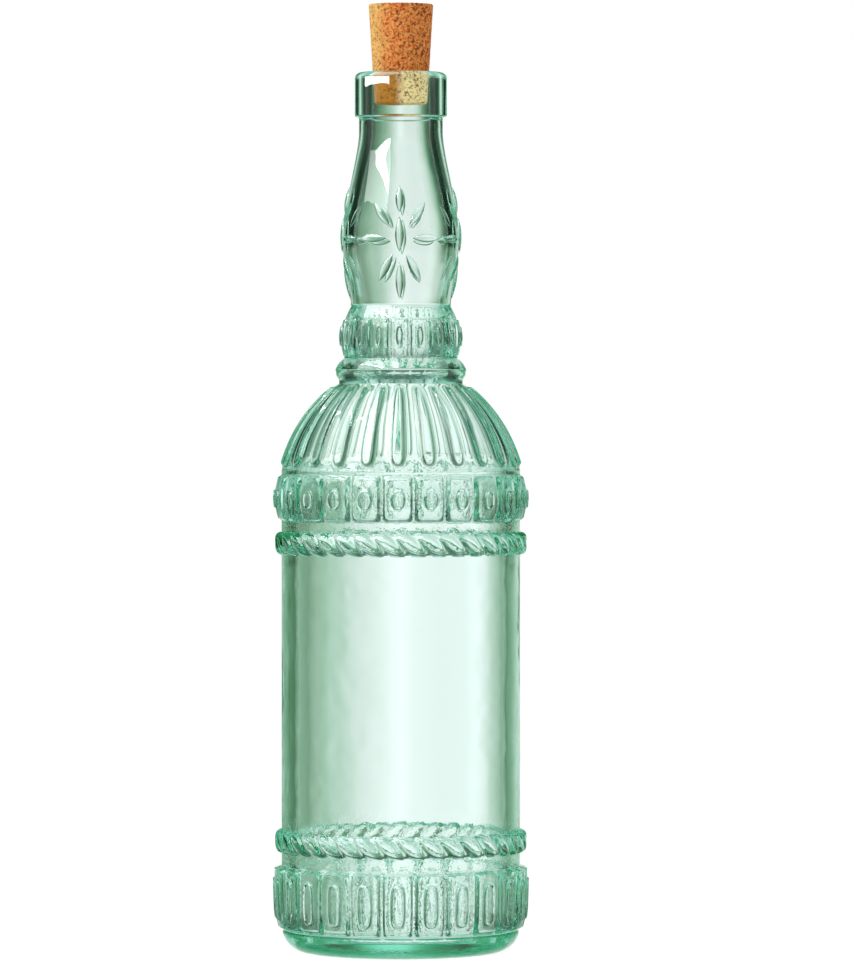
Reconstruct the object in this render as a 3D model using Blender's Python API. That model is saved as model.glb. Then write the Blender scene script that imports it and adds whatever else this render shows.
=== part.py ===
"""Corked oil bottle: one blown shell of pale green glass with moulded relief, and a tapered cork.

The glass is one closed skin. It starts at the middle of the push-up under the base, runs outwards over
the bearing ring and up the outside, turns over the lip and runs down the inside to the cavity's floor.
Plain stretches are rings joined by strips. The tablets and the stars are drawn flat, on the unrolled
wall, and then wrapped round it. Angles run round the bottle from its front, which faces -Y, towards +X.
"""

import math

import bmesh
import bpy
from mathutils import Vector
from mathutils.geometry import delaunay_2d_cdt

MM = 0.001
FULL_TURN = 2 * math.pi
QUARTER_BULGE = 1 - math.sqrt(0.5)
WELD = 1e-6

# Foot and base
BEARING_RADIUS = 32.0 * MM
BEARING_WIDTH = 2.6 * MM
PUSH_UP_RISE = 4.0 * MM
PUSH_UP_BULGE = 1.2 * MM
FOOT_HEIGHT = 6.5 * MM
FOOT_ROUNDING = 1.6 * MM
FOOT_INSET = 0.3 * MM

# Body
BODY_RADIUS = 39.4 * MM
BODY_WALL = 4.8 * MM
PLAIN_WALL_HEIGHT = 91.2 * MM
BASE_THICKNESS = 6.2 * MM
FLOOR_CROWN = 2.2 * MM
FLOOR_BULGE = 0.3 * MM
FLOOR_CORNER = 7.5 * MM

# Lower band of tall tablets, 24 round the bottle like the upper one
TABLET_COUNT = 24
LOWER_BAND_GROOVE = 0.7 * MM
LOWER_BAND_HEIGHT = 21.6 * MM
LOWER_BAND_RELIEF = 2.2 * MM
LOWER_BAND_TUCK = 6.2 * MM
LOWER_TUCK_INSET = 1.6 * MM
LOWER_TUCK_BULGE = 0.25 * MM
LOWER_BOSS_LENGTH = 14.4 * MM
LOWER_BOSS_WIDTH = 4.9 * MM
LOWER_BOSS_RELIEF = 1.0 * MM
LOWER_BOSS_DROP = 1.9 * MM
LOWER_GAP_HEIGHT = 4.0 * MM
LOWER_GAP_STEP = 1.0 * MM

# Ropes
STRAND_COUNT = 36
ROPE_HEIGHT = 7.6 * MM
ROPE_RELIEF = 2.4 * MM
ROPE_VALLEY = 1.3 * MM
ROPE_LEAN = math.radians(11.5)

# Upper band of short tablets
UPPER_GAP_HEIGHT = 3.4 * MM
UPPER_BAND_HEIGHT = 15.1 * MM
UPPER_BAND_RELIEF = 2.0 * MM
UPPER_BOSS_LENGTH = 6.6 * MM
UPPER_BOSS_WIDTH = 4.7 * MM
UPPER_BOSS_RELIEF = 0.9 * MM
BAND_BEVEL = 1.4 * MM
TABLET_GAP = 1.3 * MM
TABLET_GROOVE = 1.3 * MM
BOSS_CROWN_SHARE = 0.55

# Ribbed dome
DOME_LEDGE = 1.2 * MM
DOME_HEIGHT = 28.4 * MM
DOME_CROWN = 3.3 * MM
RIB_RELIEF = 0.8 * MM
RIB_FOOT_WIDTH = 4.2 * MM
RIB_TIP_WIDTH = 1.5 * MM
RIB_FOOT_ROUNDING = 1.3 * MM

# Neck root, bead and neck band
ROOT_RADIUS = 20.6 * MM
ROOT_HEIGHT = 1.6 * MM
BEAD_HEIGHT = 7.2 * MM
BEAD_PEAK = 3.0 * MM
BEAD_RELIEF = 1.0 * MM
BEAD_BULGE = 0.3 * MM
NECK_BAND_COUNT = 18
NECK_BAND_RADIUS = 18.9 * MM
NECK_BAND_HEIGHT = 13.6 * MM
NECK_BAND_SWELL = 1.1 * MM
NECK_BAND_BEVEL = 1.0 * MM
NECK_BOSS_LENGTH = 6.2 * MM
NECK_BOSS_WIDTH = 2.6 * MM
NECK_BOSS_RELIEF = 0.55 * MM
NECK_TABLET_GAP = 0.9 * MM
NECK_TABLET_GROOVE = 0.8 * MM
NECK_SHOULDER_HEIGHT = 3.0 * MM

# Barrel of the neck, with a star on each quarter
STAR_COUNT = 4
WAIST_RADIUS = 16.5 * MM
BELLY_RADIUS = 19.1 * MM
BARREL_LOWER_HEIGHT = 22.6 * MM
BARREL_UPPER_HEIGHT = 31.0 * MM
WAIST_REACH = 6.0 * MM
BELLY_LOWER_REACH = 10.0 * MM
BELLY_UPPER_REACH = 18.0 * MM
NECK_REACH = 8.0 * MM
BARREL_WALL = 3.5 * MM
STAR_HEIGHT = 22.2 * MM
PETAL_WIDTH = 2.9 * MM
PETAL_RELIEF = 0.8 * MM

# Neck, collar and bore
BORE_RADIUS = 9.8 * MM
NECK_WALL = 4.1 * MM
NECK_HEIGHT = 8.8 * MM
COLLAR_STEP = 1.3 * MM
COLLAR_HEIGHT = 14.9 * MM
LIP_ROUNDING = 2.0 * MM
BORE_ROUNDING = 0.9 * MM

# Cork
CORK_LENGTH = 33.2 * MM
CORK_SEAT_DEPTH = 10.6 * MM
CORK_TAPER = 0.057
CORK_CLEARANCE = 0.3 * MM
CORK_EDGE = 0.7 * MM

# Facets
BODY_FACETS = 72
NECK_FACETS = 48
STAR_ROWS_ABOVE = 3
INNER_FACETS = 36
CORK_FACETS = 40

# Heights stacked from the surface that the bottle stands on
LOWER_BAND_BOTTOM = FOOT_HEIGHT + LOWER_BAND_GROOVE
LOWER_BAND_TOP = LOWER_BAND_BOTTOM + LOWER_BAND_HEIGHT
LOWER_ROPE_BOTTOM = LOWER_BAND_TOP + LOWER_GAP_HEIGHT
PLAIN_WALL_BOTTOM = LOWER_ROPE_BOTTOM + ROPE_HEIGHT
PLAIN_WALL_TOP = PLAIN_WALL_BOTTOM + PLAIN_WALL_HEIGHT
UPPER_ROPE_TOP = PLAIN_WALL_TOP + ROPE_HEIGHT
UPPER_BAND_BOTTOM = UPPER_ROPE_TOP + UPPER_GAP_HEIGHT
UPPER_BAND_TOP = UPPER_BAND_BOTTOM + UPPER_BAND_HEIGHT
DOME_BOTTOM = UPPER_BAND_TOP + DOME_LEDGE
DOME_TOP = DOME_BOTTOM + DOME_HEIGHT
BEAD_BOTTOM = DOME_TOP + ROOT_HEIGHT
NECK_BAND_BOTTOM = BEAD_BOTTOM + BEAD_HEIGHT
NECK_BAND_TOP = NECK_BAND_BOTTOM + NECK_BAND_HEIGHT
WAIST = NECK_BAND_TOP + NECK_SHOULDER_HEIGHT
BELLY = WAIST + BARREL_LOWER_HEIGHT
BARREL_TOP = BELLY + BARREL_UPPER_HEIGHT
COLLAR_BOTTOM = BARREL_TOP + NECK_HEIGHT
LIP_TOP = COLLAR_BOTTOM + COLLAR_HEIGHT

# Radii that follow from the walls
CAVITY_RADIUS = BODY_RADIUS - BODY_WALL
NECK_RADIUS = BORE_RADIUS + NECK_WALL
COLLAR_RADIUS = NECK_RADIUS + COLLAR_STEP


def polar(angle, radius, height):
    """Point at an angle from the front, counted towards +X."""
    return Vector((radius * math.sin(angle), -radius * math.cos(angle), height))


def lerp(a, b, share):
    return a + (b - a) * share


def arc(start, end, sagitta, steps):
    """Points (radius, height) on an arc that bulges by sagitta to the right of start to end."""
    chord = math.dist(start, end)
    radius = chord * chord / (8 * abs(sagitta)) + abs(sagitta) / 2
    half_angle = math.asin(min(1.0, chord / 2 / radius))
    along = ((end[0] - start[0]) / chord, (end[1] - start[1]) / chord)
    side = math.copysign(1.0, sagitta)
    outward = (along[1] * side, -along[0] * side)
    middle = ((start[0] + end[0]) / 2, (start[1] + end[1]) / 2)
    drop = radius - abs(sagitta)
    points = []
    for step in range(steps + 1):
        angle = lerp(-half_angle, half_angle, step / steps)
        forward = radius * math.sin(angle)
        lift = radius * math.cos(angle) - drop
        points.append(tuple(middle[k] + forward * along[k] + lift * outward[k] for k in range(2)))
    return points


def upright_curve(start, start_reach, end_reach, end, steps):
    """Bezier points (radius, height) that leave start and reach end parallel to the bottle's axis."""
    upward = math.copysign(1.0, end[1] - start[1])
    controls = (start, (start[0], start[1] + upward * start_reach), (end[0], end[1] - upward * end_reach), end)
    points = []
    for step in range(steps + 1):
        t = step / steps
        weights = ((1 - t) ** 3, 3 * t * (1 - t) ** 2, 3 * t * t * (1 - t), t**3)
        points.append(tuple(sum(w * c[k] for w, c in zip(weights, controls)) for k in range(2)))
    return points


def radius_at(height, profile):
    """Radius at a height on a profile of (radius, height) points that climbs."""
    for (r0, z0), (r1, z1) in zip(profile, profile[1:]):
        if height <= z1:
            return lerp(r0, r1, max(0.0, height - z0) / (z1 - z0))
    return profile[-1][0]


def oval(length, width, count):
    """Upright oval round the origin, a circle's quarters drawn apart when it is long."""
    straight = max(0.0, (length - width) / 2)
    points = []
    for step in range(count):
        angle = FULL_TURN * (step + 0.5) / count
        across = width / 2 * math.cos(angle)
        along = min(width, length) / 2 * math.sin(angle)
        points.append((across, along + math.copysign(straight, along)))
    return points


class Drawing:
    """One repeat of a relief, drawn flat in metres on the unrolled wall."""

    def __init__(self, count, wall_radius):
        self.count = count
        self.wall_radius = wall_radius
        self.pitch = FULL_TURN * wall_radius / count
        self.points = []
        self.edges = []

    def row(self, height, radius, steps):
        """Points across the whole repeat, where it meets the strip below or above."""
        first = len(self.points)
        for step in range(steps + 1):
            self.points.append((lerp(-self.pitch / 2, self.pitch / 2, step / steps), height, radius))
        return list(range(first, first + steps + 1))

    def spot(self, across, height, radius):
        self.points.append((across, height, radius))

    def sides(self, profile):
        """Points on both edges of the repeat, where it meets its neighbours."""
        for radius, height in profile:
            self.spot(-self.pitch / 2, height, radius)
            self.spot(self.pitch / 2, height, radius)

    def loop(self, points):
        """Closed outline of (across, height, radius) that the triangles keep."""
        first = len(self.points)
        self.points.extend(points)
        size = len(points)
        self.edges.extend((first + k, first + (k + 1) % size) for k in range(size))

    def triangles(self):
        flat = [Vector((across, height)) for across, height, _ in self.points]
        _, _, faces, _, _, _ = delaunay_2d_cdt(flat, self.edges, [], 0, WELD / 10)
        return faces


class Skin:
    """The closed skin, made loop by loop. A loop is a list of (angle, vertex) in order round the axis."""

    def __init__(self):
        self.mesh = bmesh.new()
        self.last = []

    def vertex(self, angle, radius, height):
        return self.mesh.verts.new(polar(angle, radius, height))

    def pattern(self, count, unit, height):
        """Loop of count repeats of a unit of (angle, radius) points."""
        loop = []
        for repeat in range(count):
            for angle, radius in unit:
                turned = angle + FULL_TURN * repeat / count
                loop.append((turned, self.vertex(turned, radius, height)))
        return loop

    def ring(self, facets, radius, height):
        return self.pattern(facets, [(0.0, radius)], height)

    def facing(self, upper):
        """The upper loop, turned to start at the point nearest in angle to the last loop's first."""
        start = self.last[0][0]
        size = len(upper)
        gaps = [abs(math.remainder(angle - start, FULL_TURN)) for angle, _ in upper]
        first = gaps.index(min(gaps))
        turns = FULL_TURN * round((start - upper[first][0]) / FULL_TURN)
        loop = []
        for k in range(first, first + size):
            angle, vertex = upper[k % size]
            loop.append((angle + turns + FULL_TURN * (k // size), vertex))
        return loop

    def strip(self, upper):
        """Quads from the last loop to one with the same count."""
        upper = self.facing(upper)
        size = len(upper)
        for k in range(size):
            following = (k + 1) % size
            self.mesh.faces.new((self.last[k][1], self.last[following][1], upper[following][1], upper[k][1]))
        self.last = upper

    def stitch(self, upper):
        """Triangles from the last loop to any other, by walking round both."""
        lower = self.last
        upper = self.facing(upper)
        i = j = 0
        while i < len(lower) or j < len(upper):
            next_low = lower[(i + 1) % len(lower)][0] + FULL_TURN * ((i + 1) // len(lower))
            next_up = upper[(j + 1) % len(upper)][0] + FULL_TURN * ((j + 1) // len(upper))
            low = lower[i % len(lower)][1]
            up = upper[j % len(upper)][1]
            if j == len(upper) or (i < len(lower) and next_low <= next_up):
                self.mesh.faces.new((low, lower[(i + 1) % len(lower)][1], up))
                i += 1
            else:
                self.mesh.faces.new((low, upper[(j + 1) % len(upper)][1], up))
                j += 1
        self.last = upper

    def rings(self, facets, profile):
        """Plain rings through the profile's (radius, height) points."""
        for radius, height in profile:
            upper = self.ring(facets, radius, height)
            if len(self.last) == facets:
                self.strip(upper)
            else:
                self.stitch(upper)

    def wrap(self, drawing, bottom_row, top_row):
        """Wraps the drawing's repeats round the wall and joins their bottom row to the last loop."""
        faces = drawing.triangles()
        bottom, top = [], []
        for repeat in range(drawing.count):
            turn = FULL_TURN * repeat / drawing.count
            made = []
            for across, height, radius in drawing.points:
                angle = turn + across / drawing.wall_radius
                made.append((angle, self.vertex(angle, radius, height)))
            for face in faces:
                a, b, c = (Vector(drawing.points[k][:2]) for k in face)
                turned = (b - a).cross(c - a) < 0
                order = reversed(face) if turned else face
                self.mesh.faces.new([made[k][1] for k in order])
            bottom.extend(made[k] for k in bottom_row[:-1])
            top.extend(made[k] for k in top_row[:-1])
        self.stitch(bottom)
        self.last = top

    def start(self, facets, profile):
        """A fan from the profile's first point, on the axis, and rings through the others."""
        centre = self.mesh.verts.new((0, 0, profile[0][1]))
        self.last = self.ring(facets, *profile[1])
        for k in range(facets):
            self.mesh.faces.new((centre, self.last[(k + 1) % facets][1], self.last[k][1]))
        self.rings(facets, profile[2:])

    def end(self, facets, profile):
        """Rings through the profile's points, and a fan to its last one, on the axis."""
        self.rings(facets, profile[:-1])
        centre = self.mesh.verts.new((0, 0, profile[-1][1]))
        for k in range(facets):
            self.mesh.faces.new((self.last[k][1], self.last[(k + 1) % facets][1], centre))

    def finish(self, name):
        bmesh.ops.remove_doubles(self.mesh, verts=self.mesh.verts, dist=WELD)
        data = bpy.data.meshes.new(name)
        self.mesh.to_mesh(data)
        self.mesh.free()
        return data


def tablet_drawing(count, bottom, top, face, groove, gap, boss, facets_across):
    """A tablet with an oval boss, inside a groove. bottom, top and face are (radius, height) points."""
    wall_radius = face[-1][0]
    drawing = Drawing(count, wall_radius)
    bottom_row = drawing.row(bottom[1], bottom[0], facets_across)
    top_row = drawing.row(top[1], top[0], facets_across)
    drawing.sides([(radius - groove, height) for radius, height in face])
    half_width = drawing.pitch / 2 - gap
    right = [(half_width, height, radius) for radius, height in face]
    left = [(-half_width, height, radius) for radius, height in reversed(face)]
    drawing.loop(right + left)
    length, width, relief, middle, sides = boss
    crown_width = width * BOSS_CROWN_SHARE
    crown_length = length - (width - crown_width)
    for size, height_share in ((oval(length, width, sides), 0.0), (oval(crown_length, crown_width, sides), 1.0)):
        drawing.loop(
            [(u, middle + v, radius_at(middle + v, face) + relief * height_share) for u, v in size]
        )
    return drawing, bottom_row, top_row


def add_foot(skin):
    """The push-up, the flat bearing ring and the rounded foot."""
    inner_edge = (BEARING_RADIUS - BEARING_WIDTH, 0.0)
    skin.start(INNER_FACETS, arc((0.0, PUSH_UP_RISE), inner_edge, -PUSH_UP_BULGE, 3))
    foot_edge = (BODY_RADIUS - FOOT_INSET, FOOT_HEIGHT)
    skin.rings(BODY_FACETS, arc((BEARING_RADIUS, 0.0), foot_edge, FOOT_ROUNDING, 3))


def add_lower_band(skin):
    """Tall tablets whose lower ends tuck in towards the foot."""
    face_radius = BODY_RADIUS + LOWER_BAND_RELIEF
    face_bottom = LOWER_BAND_BOTTOM + BAND_BEVEL
    face_top = LOWER_BAND_TOP - BAND_BEVEL
    tuck_top = LOWER_BAND_BOTTOM + LOWER_BAND_TUCK
    tuck_start = (face_radius - LOWER_TUCK_INSET, face_bottom)
    tuck = arc(tuck_start, (face_radius, tuck_top), LOWER_TUCK_BULGE, 2)
    face = tuck + [(face_radius, face_top)]
    middle = face_top - LOWER_BOSS_DROP - LOWER_BOSS_LENGTH / 2
    boss = (LOWER_BOSS_LENGTH, LOWER_BOSS_WIDTH, LOWER_BOSS_RELIEF, middle, 10)
    skin.wrap(
        *tablet_drawing(
            TABLET_COUNT,
            (BODY_RADIUS - FOOT_INSET, LOWER_BAND_BOTTOM),
            (BODY_RADIUS + LOWER_GAP_STEP, LOWER_BAND_TOP),
            face,
            TABLET_GROOVE,
            TABLET_GAP,
            boss,
            3,
        )
    )


def add_upper_band(skin):
    """Short tablets with a coin each."""
    face_radius = BODY_RADIUS + UPPER_BAND_RELIEF
    face = [
        (face_radius, UPPER_BAND_BOTTOM + BAND_BEVEL),
        (face_radius, UPPER_BAND_TOP - BAND_BEVEL),
    ]
    middle = (UPPER_BAND_BOTTOM + UPPER_BAND_TOP) / 2
    boss = (UPPER_BOSS_LENGTH, UPPER_BOSS_WIDTH, UPPER_BOSS_RELIEF, middle, 12)
    skin.wrap(
        *tablet_drawing(
            TABLET_COUNT,
            (BODY_RADIUS, UPPER_BAND_BOTTOM),
            (BODY_RADIUS, UPPER_BAND_TOP),
            face,
            TABLET_GROOVE,
            TABLET_GAP,
            boss,
            3,
        )
    )


def add_rope(skin, bottom):
    """A round bead cut into leaning strands."""
    levels = 5
    for level in range(levels + 1):
        share = level / levels
        swell = math.sin(math.pi * share) ** 0.7
        lean = -ROPE_LEAN * (share - 0.5)
        crest = BODY_RADIUS + ROPE_RELIEF * swell
        valley = crest - ROPE_VALLEY * swell
        half_pitch = FULL_TURN / STRAND_COUNT / 2
        unit = [(lean, valley), (lean + half_pitch, crest)]
        loop = skin.pattern(STRAND_COUNT, unit, bottom + ROPE_HEIGHT * share)
        if level == 0:
            skin.stitch(loop)
        else:
            skin.strip(loop)


def dome_profile():
    """Outer (radius, height) points of the dome between its ribs."""
    return arc((BODY_RADIUS, DOME_BOTTOM), (ROOT_RADIUS, DOME_TOP), DOME_CROWN, 7)


def add_dome(skin):
    """The dome and its ribs, each wide and round at the foot and narrow at the tip."""
    profile = dome_profile()
    ribs = profile[:-1]
    rounded = DOME_BOTTOM + RIB_FOOT_ROUNDING
    rows = [ribs[0], (radius_at(rounded, profile), rounded)] + ribs[1:]
    for k, (radius, height) in enumerate(rows):
        share = (height - rows[0][1]) / (rows[-1][1] - rows[0][1])
        width = lerp(RIB_FOOT_WIDTH, RIB_TIP_WIDTH, share)
        relief = RIB_RELIEF
        if k == 0:
            width, relief = RIB_FOOT_WIDTH / 2, 0.0
        elif k == len(rows) - 1:
            relief = 0.0
        half_angle = width / 2 / radius
        unit = [(-half_angle, radius), (0.0, radius + relief), (half_angle, radius)]
        loop = skin.pattern(TABLET_COUNT, unit, height)
        if k == 0:
            skin.stitch(loop)
        else:
            skin.strip(loop)


def add_neck_root(skin):
    """The root above the dome and the pointed bead under the neck band."""
    peak = (ROOT_RADIUS + BEAD_RELIEF, BEAD_BOTTOM + BEAD_PEAK)
    skin.rings(NECK_FACETS, [(ROOT_RADIUS, DOME_TOP)])
    skin.rings(NECK_FACETS, arc((ROOT_RADIUS, BEAD_BOTTOM), peak, BEAD_BULGE, 2))
    skin.rings(NECK_FACETS, arc(peak, (NECK_BAND_RADIUS - NECK_TABLET_GROOVE, NECK_BAND_BOTTOM), BEAD_BULGE, 2)[1:])


def add_neck_band(skin):
    """Eighteen narrow tablets on a swelling band."""
    face_bottom = NECK_BAND_BOTTOM + NECK_BAND_BEVEL
    face_top = NECK_BAND_TOP - NECK_BAND_BEVEL
    face = arc((NECK_BAND_RADIUS, face_bottom), (NECK_BAND_RADIUS, face_top), NECK_BAND_SWELL, 2)
    middle = (face_bottom + face_top) / 2
    boss = (NECK_BOSS_LENGTH, NECK_BOSS_WIDTH, NECK_BOSS_RELIEF, middle, 8)
    skin.wrap(
        *tablet_drawing(
            NECK_BAND_COUNT,
            (NECK_BAND_RADIUS - NECK_TABLET_GROOVE, NECK_BAND_BOTTOM + NECK_BAND_BEVEL / 4),
            (NECK_BAND_RADIUS - NECK_TABLET_GROOVE / 2, NECK_BAND_TOP),
            face,
            NECK_TABLET_GROOVE,
            NECK_TABLET_GAP,
            boss,
            3,
        )
    )


# Petals of one star: offset round the wall and up from its middle, length, and lean from upright
UPRIGHT_PETALS = [
    (0.0, 1.3 * MM, 11.6 * MM, 0.0),
    (0.0, 12.9 * MM, 9.0 * MM, 0.0),
    (0.0, -13.9 * MM, 12.4 * MM, 0.0),
]
SIDE_PETALS = [
    (9.2 * MM, 0.0, 9.8 * MM, math.radians(90)),
    (6.2 * MM, 7.9 * MM, 9.8 * MM, math.radians(36)),
    (4.9 * MM, -9.6 * MM, 10.4 * MM, math.radians(-31)),
]
PETALS = UPRIGHT_PETALS + SIDE_PETALS + [(-u, v, length, -lean) for u, v, length, lean in SIDE_PETALS]


def barrel_profile(wall, neck_radius, lower_steps, upper_steps):
    """Points (radius, height) of the barrel from the waist to the neck, a wall's width inside its skin."""
    belly = (BELLY_RADIUS - wall, BELLY)
    lower = upright_curve((WAIST_RADIUS - wall, WAIST), WAIST_REACH, BELLY_LOWER_REACH, belly, lower_steps)
    upper = upright_curve(belly, BELLY_UPPER_REACH, NECK_REACH, (neck_radius, BARREL_TOP), upper_steps)
    return lower + upper[1:]


def barrel_skin():
    return barrel_profile(0.0, NECK_RADIUS, 5, 7)


def near_petal(across, height, star_middle, margin):
    for u, v, length, lean in PETALS:
        du, dv = across - u, height - star_middle - v
        along = du * math.sin(lean) + dv * math.cos(lean)
        off = du * math.cos(lean) - dv * math.sin(lean)
        if abs(along) < length / 2 + margin and abs(off) < PETAL_WIDTH / 2 + margin:
            return True
    return False


def star_drawing():
    """A quarter of the barrel with its star of leaf-shaped petals."""
    profile = barrel_skin()
    drawing = Drawing(STAR_COUNT, BELLY_RADIUS)
    star_middle = WAIST + STAR_HEIGHT
    steps = NECK_FACETS // STAR_COUNT
    rows = profile[:-STAR_ROWS_ABOVE]
    bottom_row = drawing.row(rows[0][1], rows[0][0], steps)
    top_row = drawing.row(rows[-1][1], rows[-1][0], steps)
    drawing.sides(rows[1:-1])
    for radius, height in rows[1:-1]:
        for step in range(1, steps):
            across = lerp(-drawing.pitch / 2, drawing.pitch / 2, step / steps)
            if not near_petal(across, height, star_middle, 0.7 * MM):
                drawing.spot(across, height, radius)
    for u, v, length, lean in PETALS:
        outline = []
        for along, off in ((-1, 0), (-0.35, 1), (0.35, 1), (1, 0), (0.35, -1), (-0.35, -1)):
            a, b = along * length / 2, off * PETAL_WIDTH / 2
            across = u + a * math.sin(lean) + b * math.cos(lean)
            height = star_middle + v + a * math.cos(lean) - b * math.sin(lean)
            outline.append((across, height, radius_at(height, profile)))
        drawing.loop(outline)
        for along in (-0.3, 0.3):
            a = along * length / 2
            height = star_middle + v + a * math.cos(lean)
            drawing.spot(u + a * math.sin(lean), height, radius_at(height, profile) + PETAL_RELIEF)
    return drawing, bottom_row, top_row


def add_barrel(skin):
    """The barrel: its starred wall, then the plain rings above that."""
    skin.wrap(*star_drawing())
    skin.rings(NECK_FACETS, barrel_skin()[-STAR_ROWS_ABOVE:])


def add_collar(skin):
    """The collar, over the lip and down to where the bore starts."""
    step_middle = (COLLAR_RADIUS - COLLAR_STEP / 2, COLLAR_BOTTOM)
    skin.rings(NECK_FACETS, [(NECK_RADIUS, COLLAR_BOTTOM), step_middle])
    skin.rings(NECK_FACETS, [(COLLAR_RADIUS, COLLAR_BOTTOM + COLLAR_STEP / 2)])
    shoulder = (COLLAR_RADIUS, LIP_TOP - LIP_ROUNDING)
    skin.rings(NECK_FACETS, arc(shoulder, (COLLAR_RADIUS - LIP_ROUNDING, LIP_TOP), QUARTER_BULGE * LIP_ROUNDING, 2))
    edge = (BORE_RADIUS + BORE_ROUNDING, LIP_TOP)
    skin.rings(INNER_FACETS, arc(edge, (BORE_RADIUS, LIP_TOP - BORE_ROUNDING), QUARTER_BULGE * BORE_ROUNDING, 2))


def add_cavity(skin):
    """The smooth inside, from the bore down to the floor."""
    barrel = barrel_profile(BARREL_WALL, BORE_RADIUS, 3, 5)
    root = (ROOT_RADIUS - NECK_WALL, DOME_TOP)
    skin.rings(INNER_FACETS, reversed(barrel))
    skin.rings(INNER_FACETS, upright_curve(barrel[0], WAIST_REACH, WAIST_REACH, root, 3)[1:])
    skin.rings(INNER_FACETS, arc(root, (CAVITY_RADIUS, DOME_BOTTOM), -DOME_CROWN, 5)[1:])
    floor = PUSH_UP_RISE + BASE_THICKNESS
    corner_top = (CAVITY_RADIUS, floor + FLOOR_CORNER)
    corner_bottom = (CAVITY_RADIUS - FLOOR_CORNER, floor)
    skin.rings(INNER_FACETS, arc(corner_top, corner_bottom, -QUARTER_BULGE * FLOOR_CORNER, 3))
    skin.end(INNER_FACETS, arc(corner_bottom, (0.0, floor + FLOOR_CROWN), FLOOR_BULGE, 2)[1:])


def glass_shell():
    skin = Skin()
    add_foot(skin)
    add_lower_band(skin)
    add_rope(skin, LOWER_ROPE_BOTTOM)
    add_rope(skin, PLAIN_WALL_TOP)
    add_upper_band(skin)
    add_dome(skin)
    add_neck_root(skin)
    add_neck_band(skin)
    add_barrel(skin)
    add_collar(skin)
    add_cavity(skin)
    return skin.finish("bottle_glass")


def cork():
    """The tapered cork, its origin on the bore's axis at the lip, where it wedges."""
    seat_radius = BORE_RADIUS - CORK_CLEARANCE
    tip_radius = seat_radius - CORK_TAPER * CORK_SEAT_DEPTH
    head_radius = tip_radius + CORK_TAPER * CORK_LENGTH
    tip, head = -CORK_SEAT_DEPTH, CORK_LENGTH - CORK_SEAT_DEPTH
    lower_edge = (tip_radius + CORK_TAPER * CORK_EDGE, tip + CORK_EDGE)
    upper_edge = (head_radius - CORK_TAPER * CORK_EDGE, head - CORK_EDGE)
    rounding = QUARTER_BULGE * CORK_EDGE
    skin = Skin()
    skin.start(CORK_FACETS, [(0.0, tip)] + arc((tip_radius - CORK_EDGE, tip), lower_edge, rounding, 2))
    skin.rings(CORK_FACETS, [(seat_radius, 0.0)])
    skin.end(CORK_FACETS, arc(upper_edge, (head_radius - CORK_EDGE, head), rounding, 2) + [(0.0, head)])
    return skin.finish("cork_stopper")


def material(name, colour, roughness, transmission=0.0):
    made = bpy.data.materials.new(name)
    made.use_nodes = True
    shader = made.node_tree.nodes["Principled BSDF"]
    shader.inputs["Base Color"].default_value = (*colour, 1.0)
    shader.inputs["Roughness"].default_value = roughness
    shader.inputs["Metallic"].default_value = 0.0
    shader.inputs["Transmission Weight"].default_value = transmission
    return made


def place(data, finish, height=0.0, crease=28):
    data.shade_smooth()
    data.set_sharp_from_angle(angle=math.radians(crease))
    data.materials.append(finish)
    made = bpy.data.objects.new(data.name, data)
    made.location.z = height
    bpy.context.scene.collection.objects.link(made)
    return made


def main():
    for old in list(bpy.data.objects):
        bpy.data.objects.remove(old)
    place(glass_shell(), material("pale_green_glass", (0.66, 0.86, 0.75), 0.03, 1.0))
    place(cork(), material("pressed_cork", (0.66, 0.40, 0.22), 0.9), LIP_TOP)


main()
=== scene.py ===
"""Looks of the oil bottle: pressed pale green glass and a tapered cork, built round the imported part."""

import logging
import math
from collections.abc import Callable, Mapping, Sequence
from dataclasses import dataclass
from enum import Enum

import bmesh
import bpy
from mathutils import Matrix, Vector


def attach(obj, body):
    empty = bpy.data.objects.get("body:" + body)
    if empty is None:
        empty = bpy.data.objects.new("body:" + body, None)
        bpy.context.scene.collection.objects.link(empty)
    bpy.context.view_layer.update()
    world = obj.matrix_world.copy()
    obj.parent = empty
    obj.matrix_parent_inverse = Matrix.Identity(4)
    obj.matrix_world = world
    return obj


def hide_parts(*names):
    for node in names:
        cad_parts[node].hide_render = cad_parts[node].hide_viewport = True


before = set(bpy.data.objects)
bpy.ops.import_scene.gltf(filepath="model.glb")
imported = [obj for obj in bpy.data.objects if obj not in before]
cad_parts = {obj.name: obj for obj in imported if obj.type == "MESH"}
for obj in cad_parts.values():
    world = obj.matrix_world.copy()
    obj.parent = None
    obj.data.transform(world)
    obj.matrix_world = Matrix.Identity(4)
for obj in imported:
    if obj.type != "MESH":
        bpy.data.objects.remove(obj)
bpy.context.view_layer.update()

LOG = logging.getLogger("oil_bottle")

# Points closer than this are at the same place.
HAIR = 1.0e-5
# The height at which a flat tile is laid before its rows are moved to theirs.
PARKED = -2.0
ORIGIN = (0.0, 0.0, 0.0)
FULL_TURN = 2.0 * math.pi
# How far a quarter circle of radius 1 stands out of its chord.
QUARTER_BULGE = 1.0 - math.sqrt(0.5)
SIDES = (-1.0, 1.0)

Station = tuple[float, float]
Colour = tuple[float, float, float]
Place = Callable[[Vector], bool]
Thing = bpy.types.Object
Socket = bpy.types.NodeSocket
Wire = Socket | float | Colour
Span = tuple[float, float]


class Pick(Enum):
    """What is selected on the bench, with the place of its mode among point, edge and face."""

    POINTS = 0
    EDGES = 1
    FACES = 2


def lerp(start: float, end: float, share: float) -> float:
    """The value that lies a share of the way from start to end."""
    return start + (end - start) * share


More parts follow.
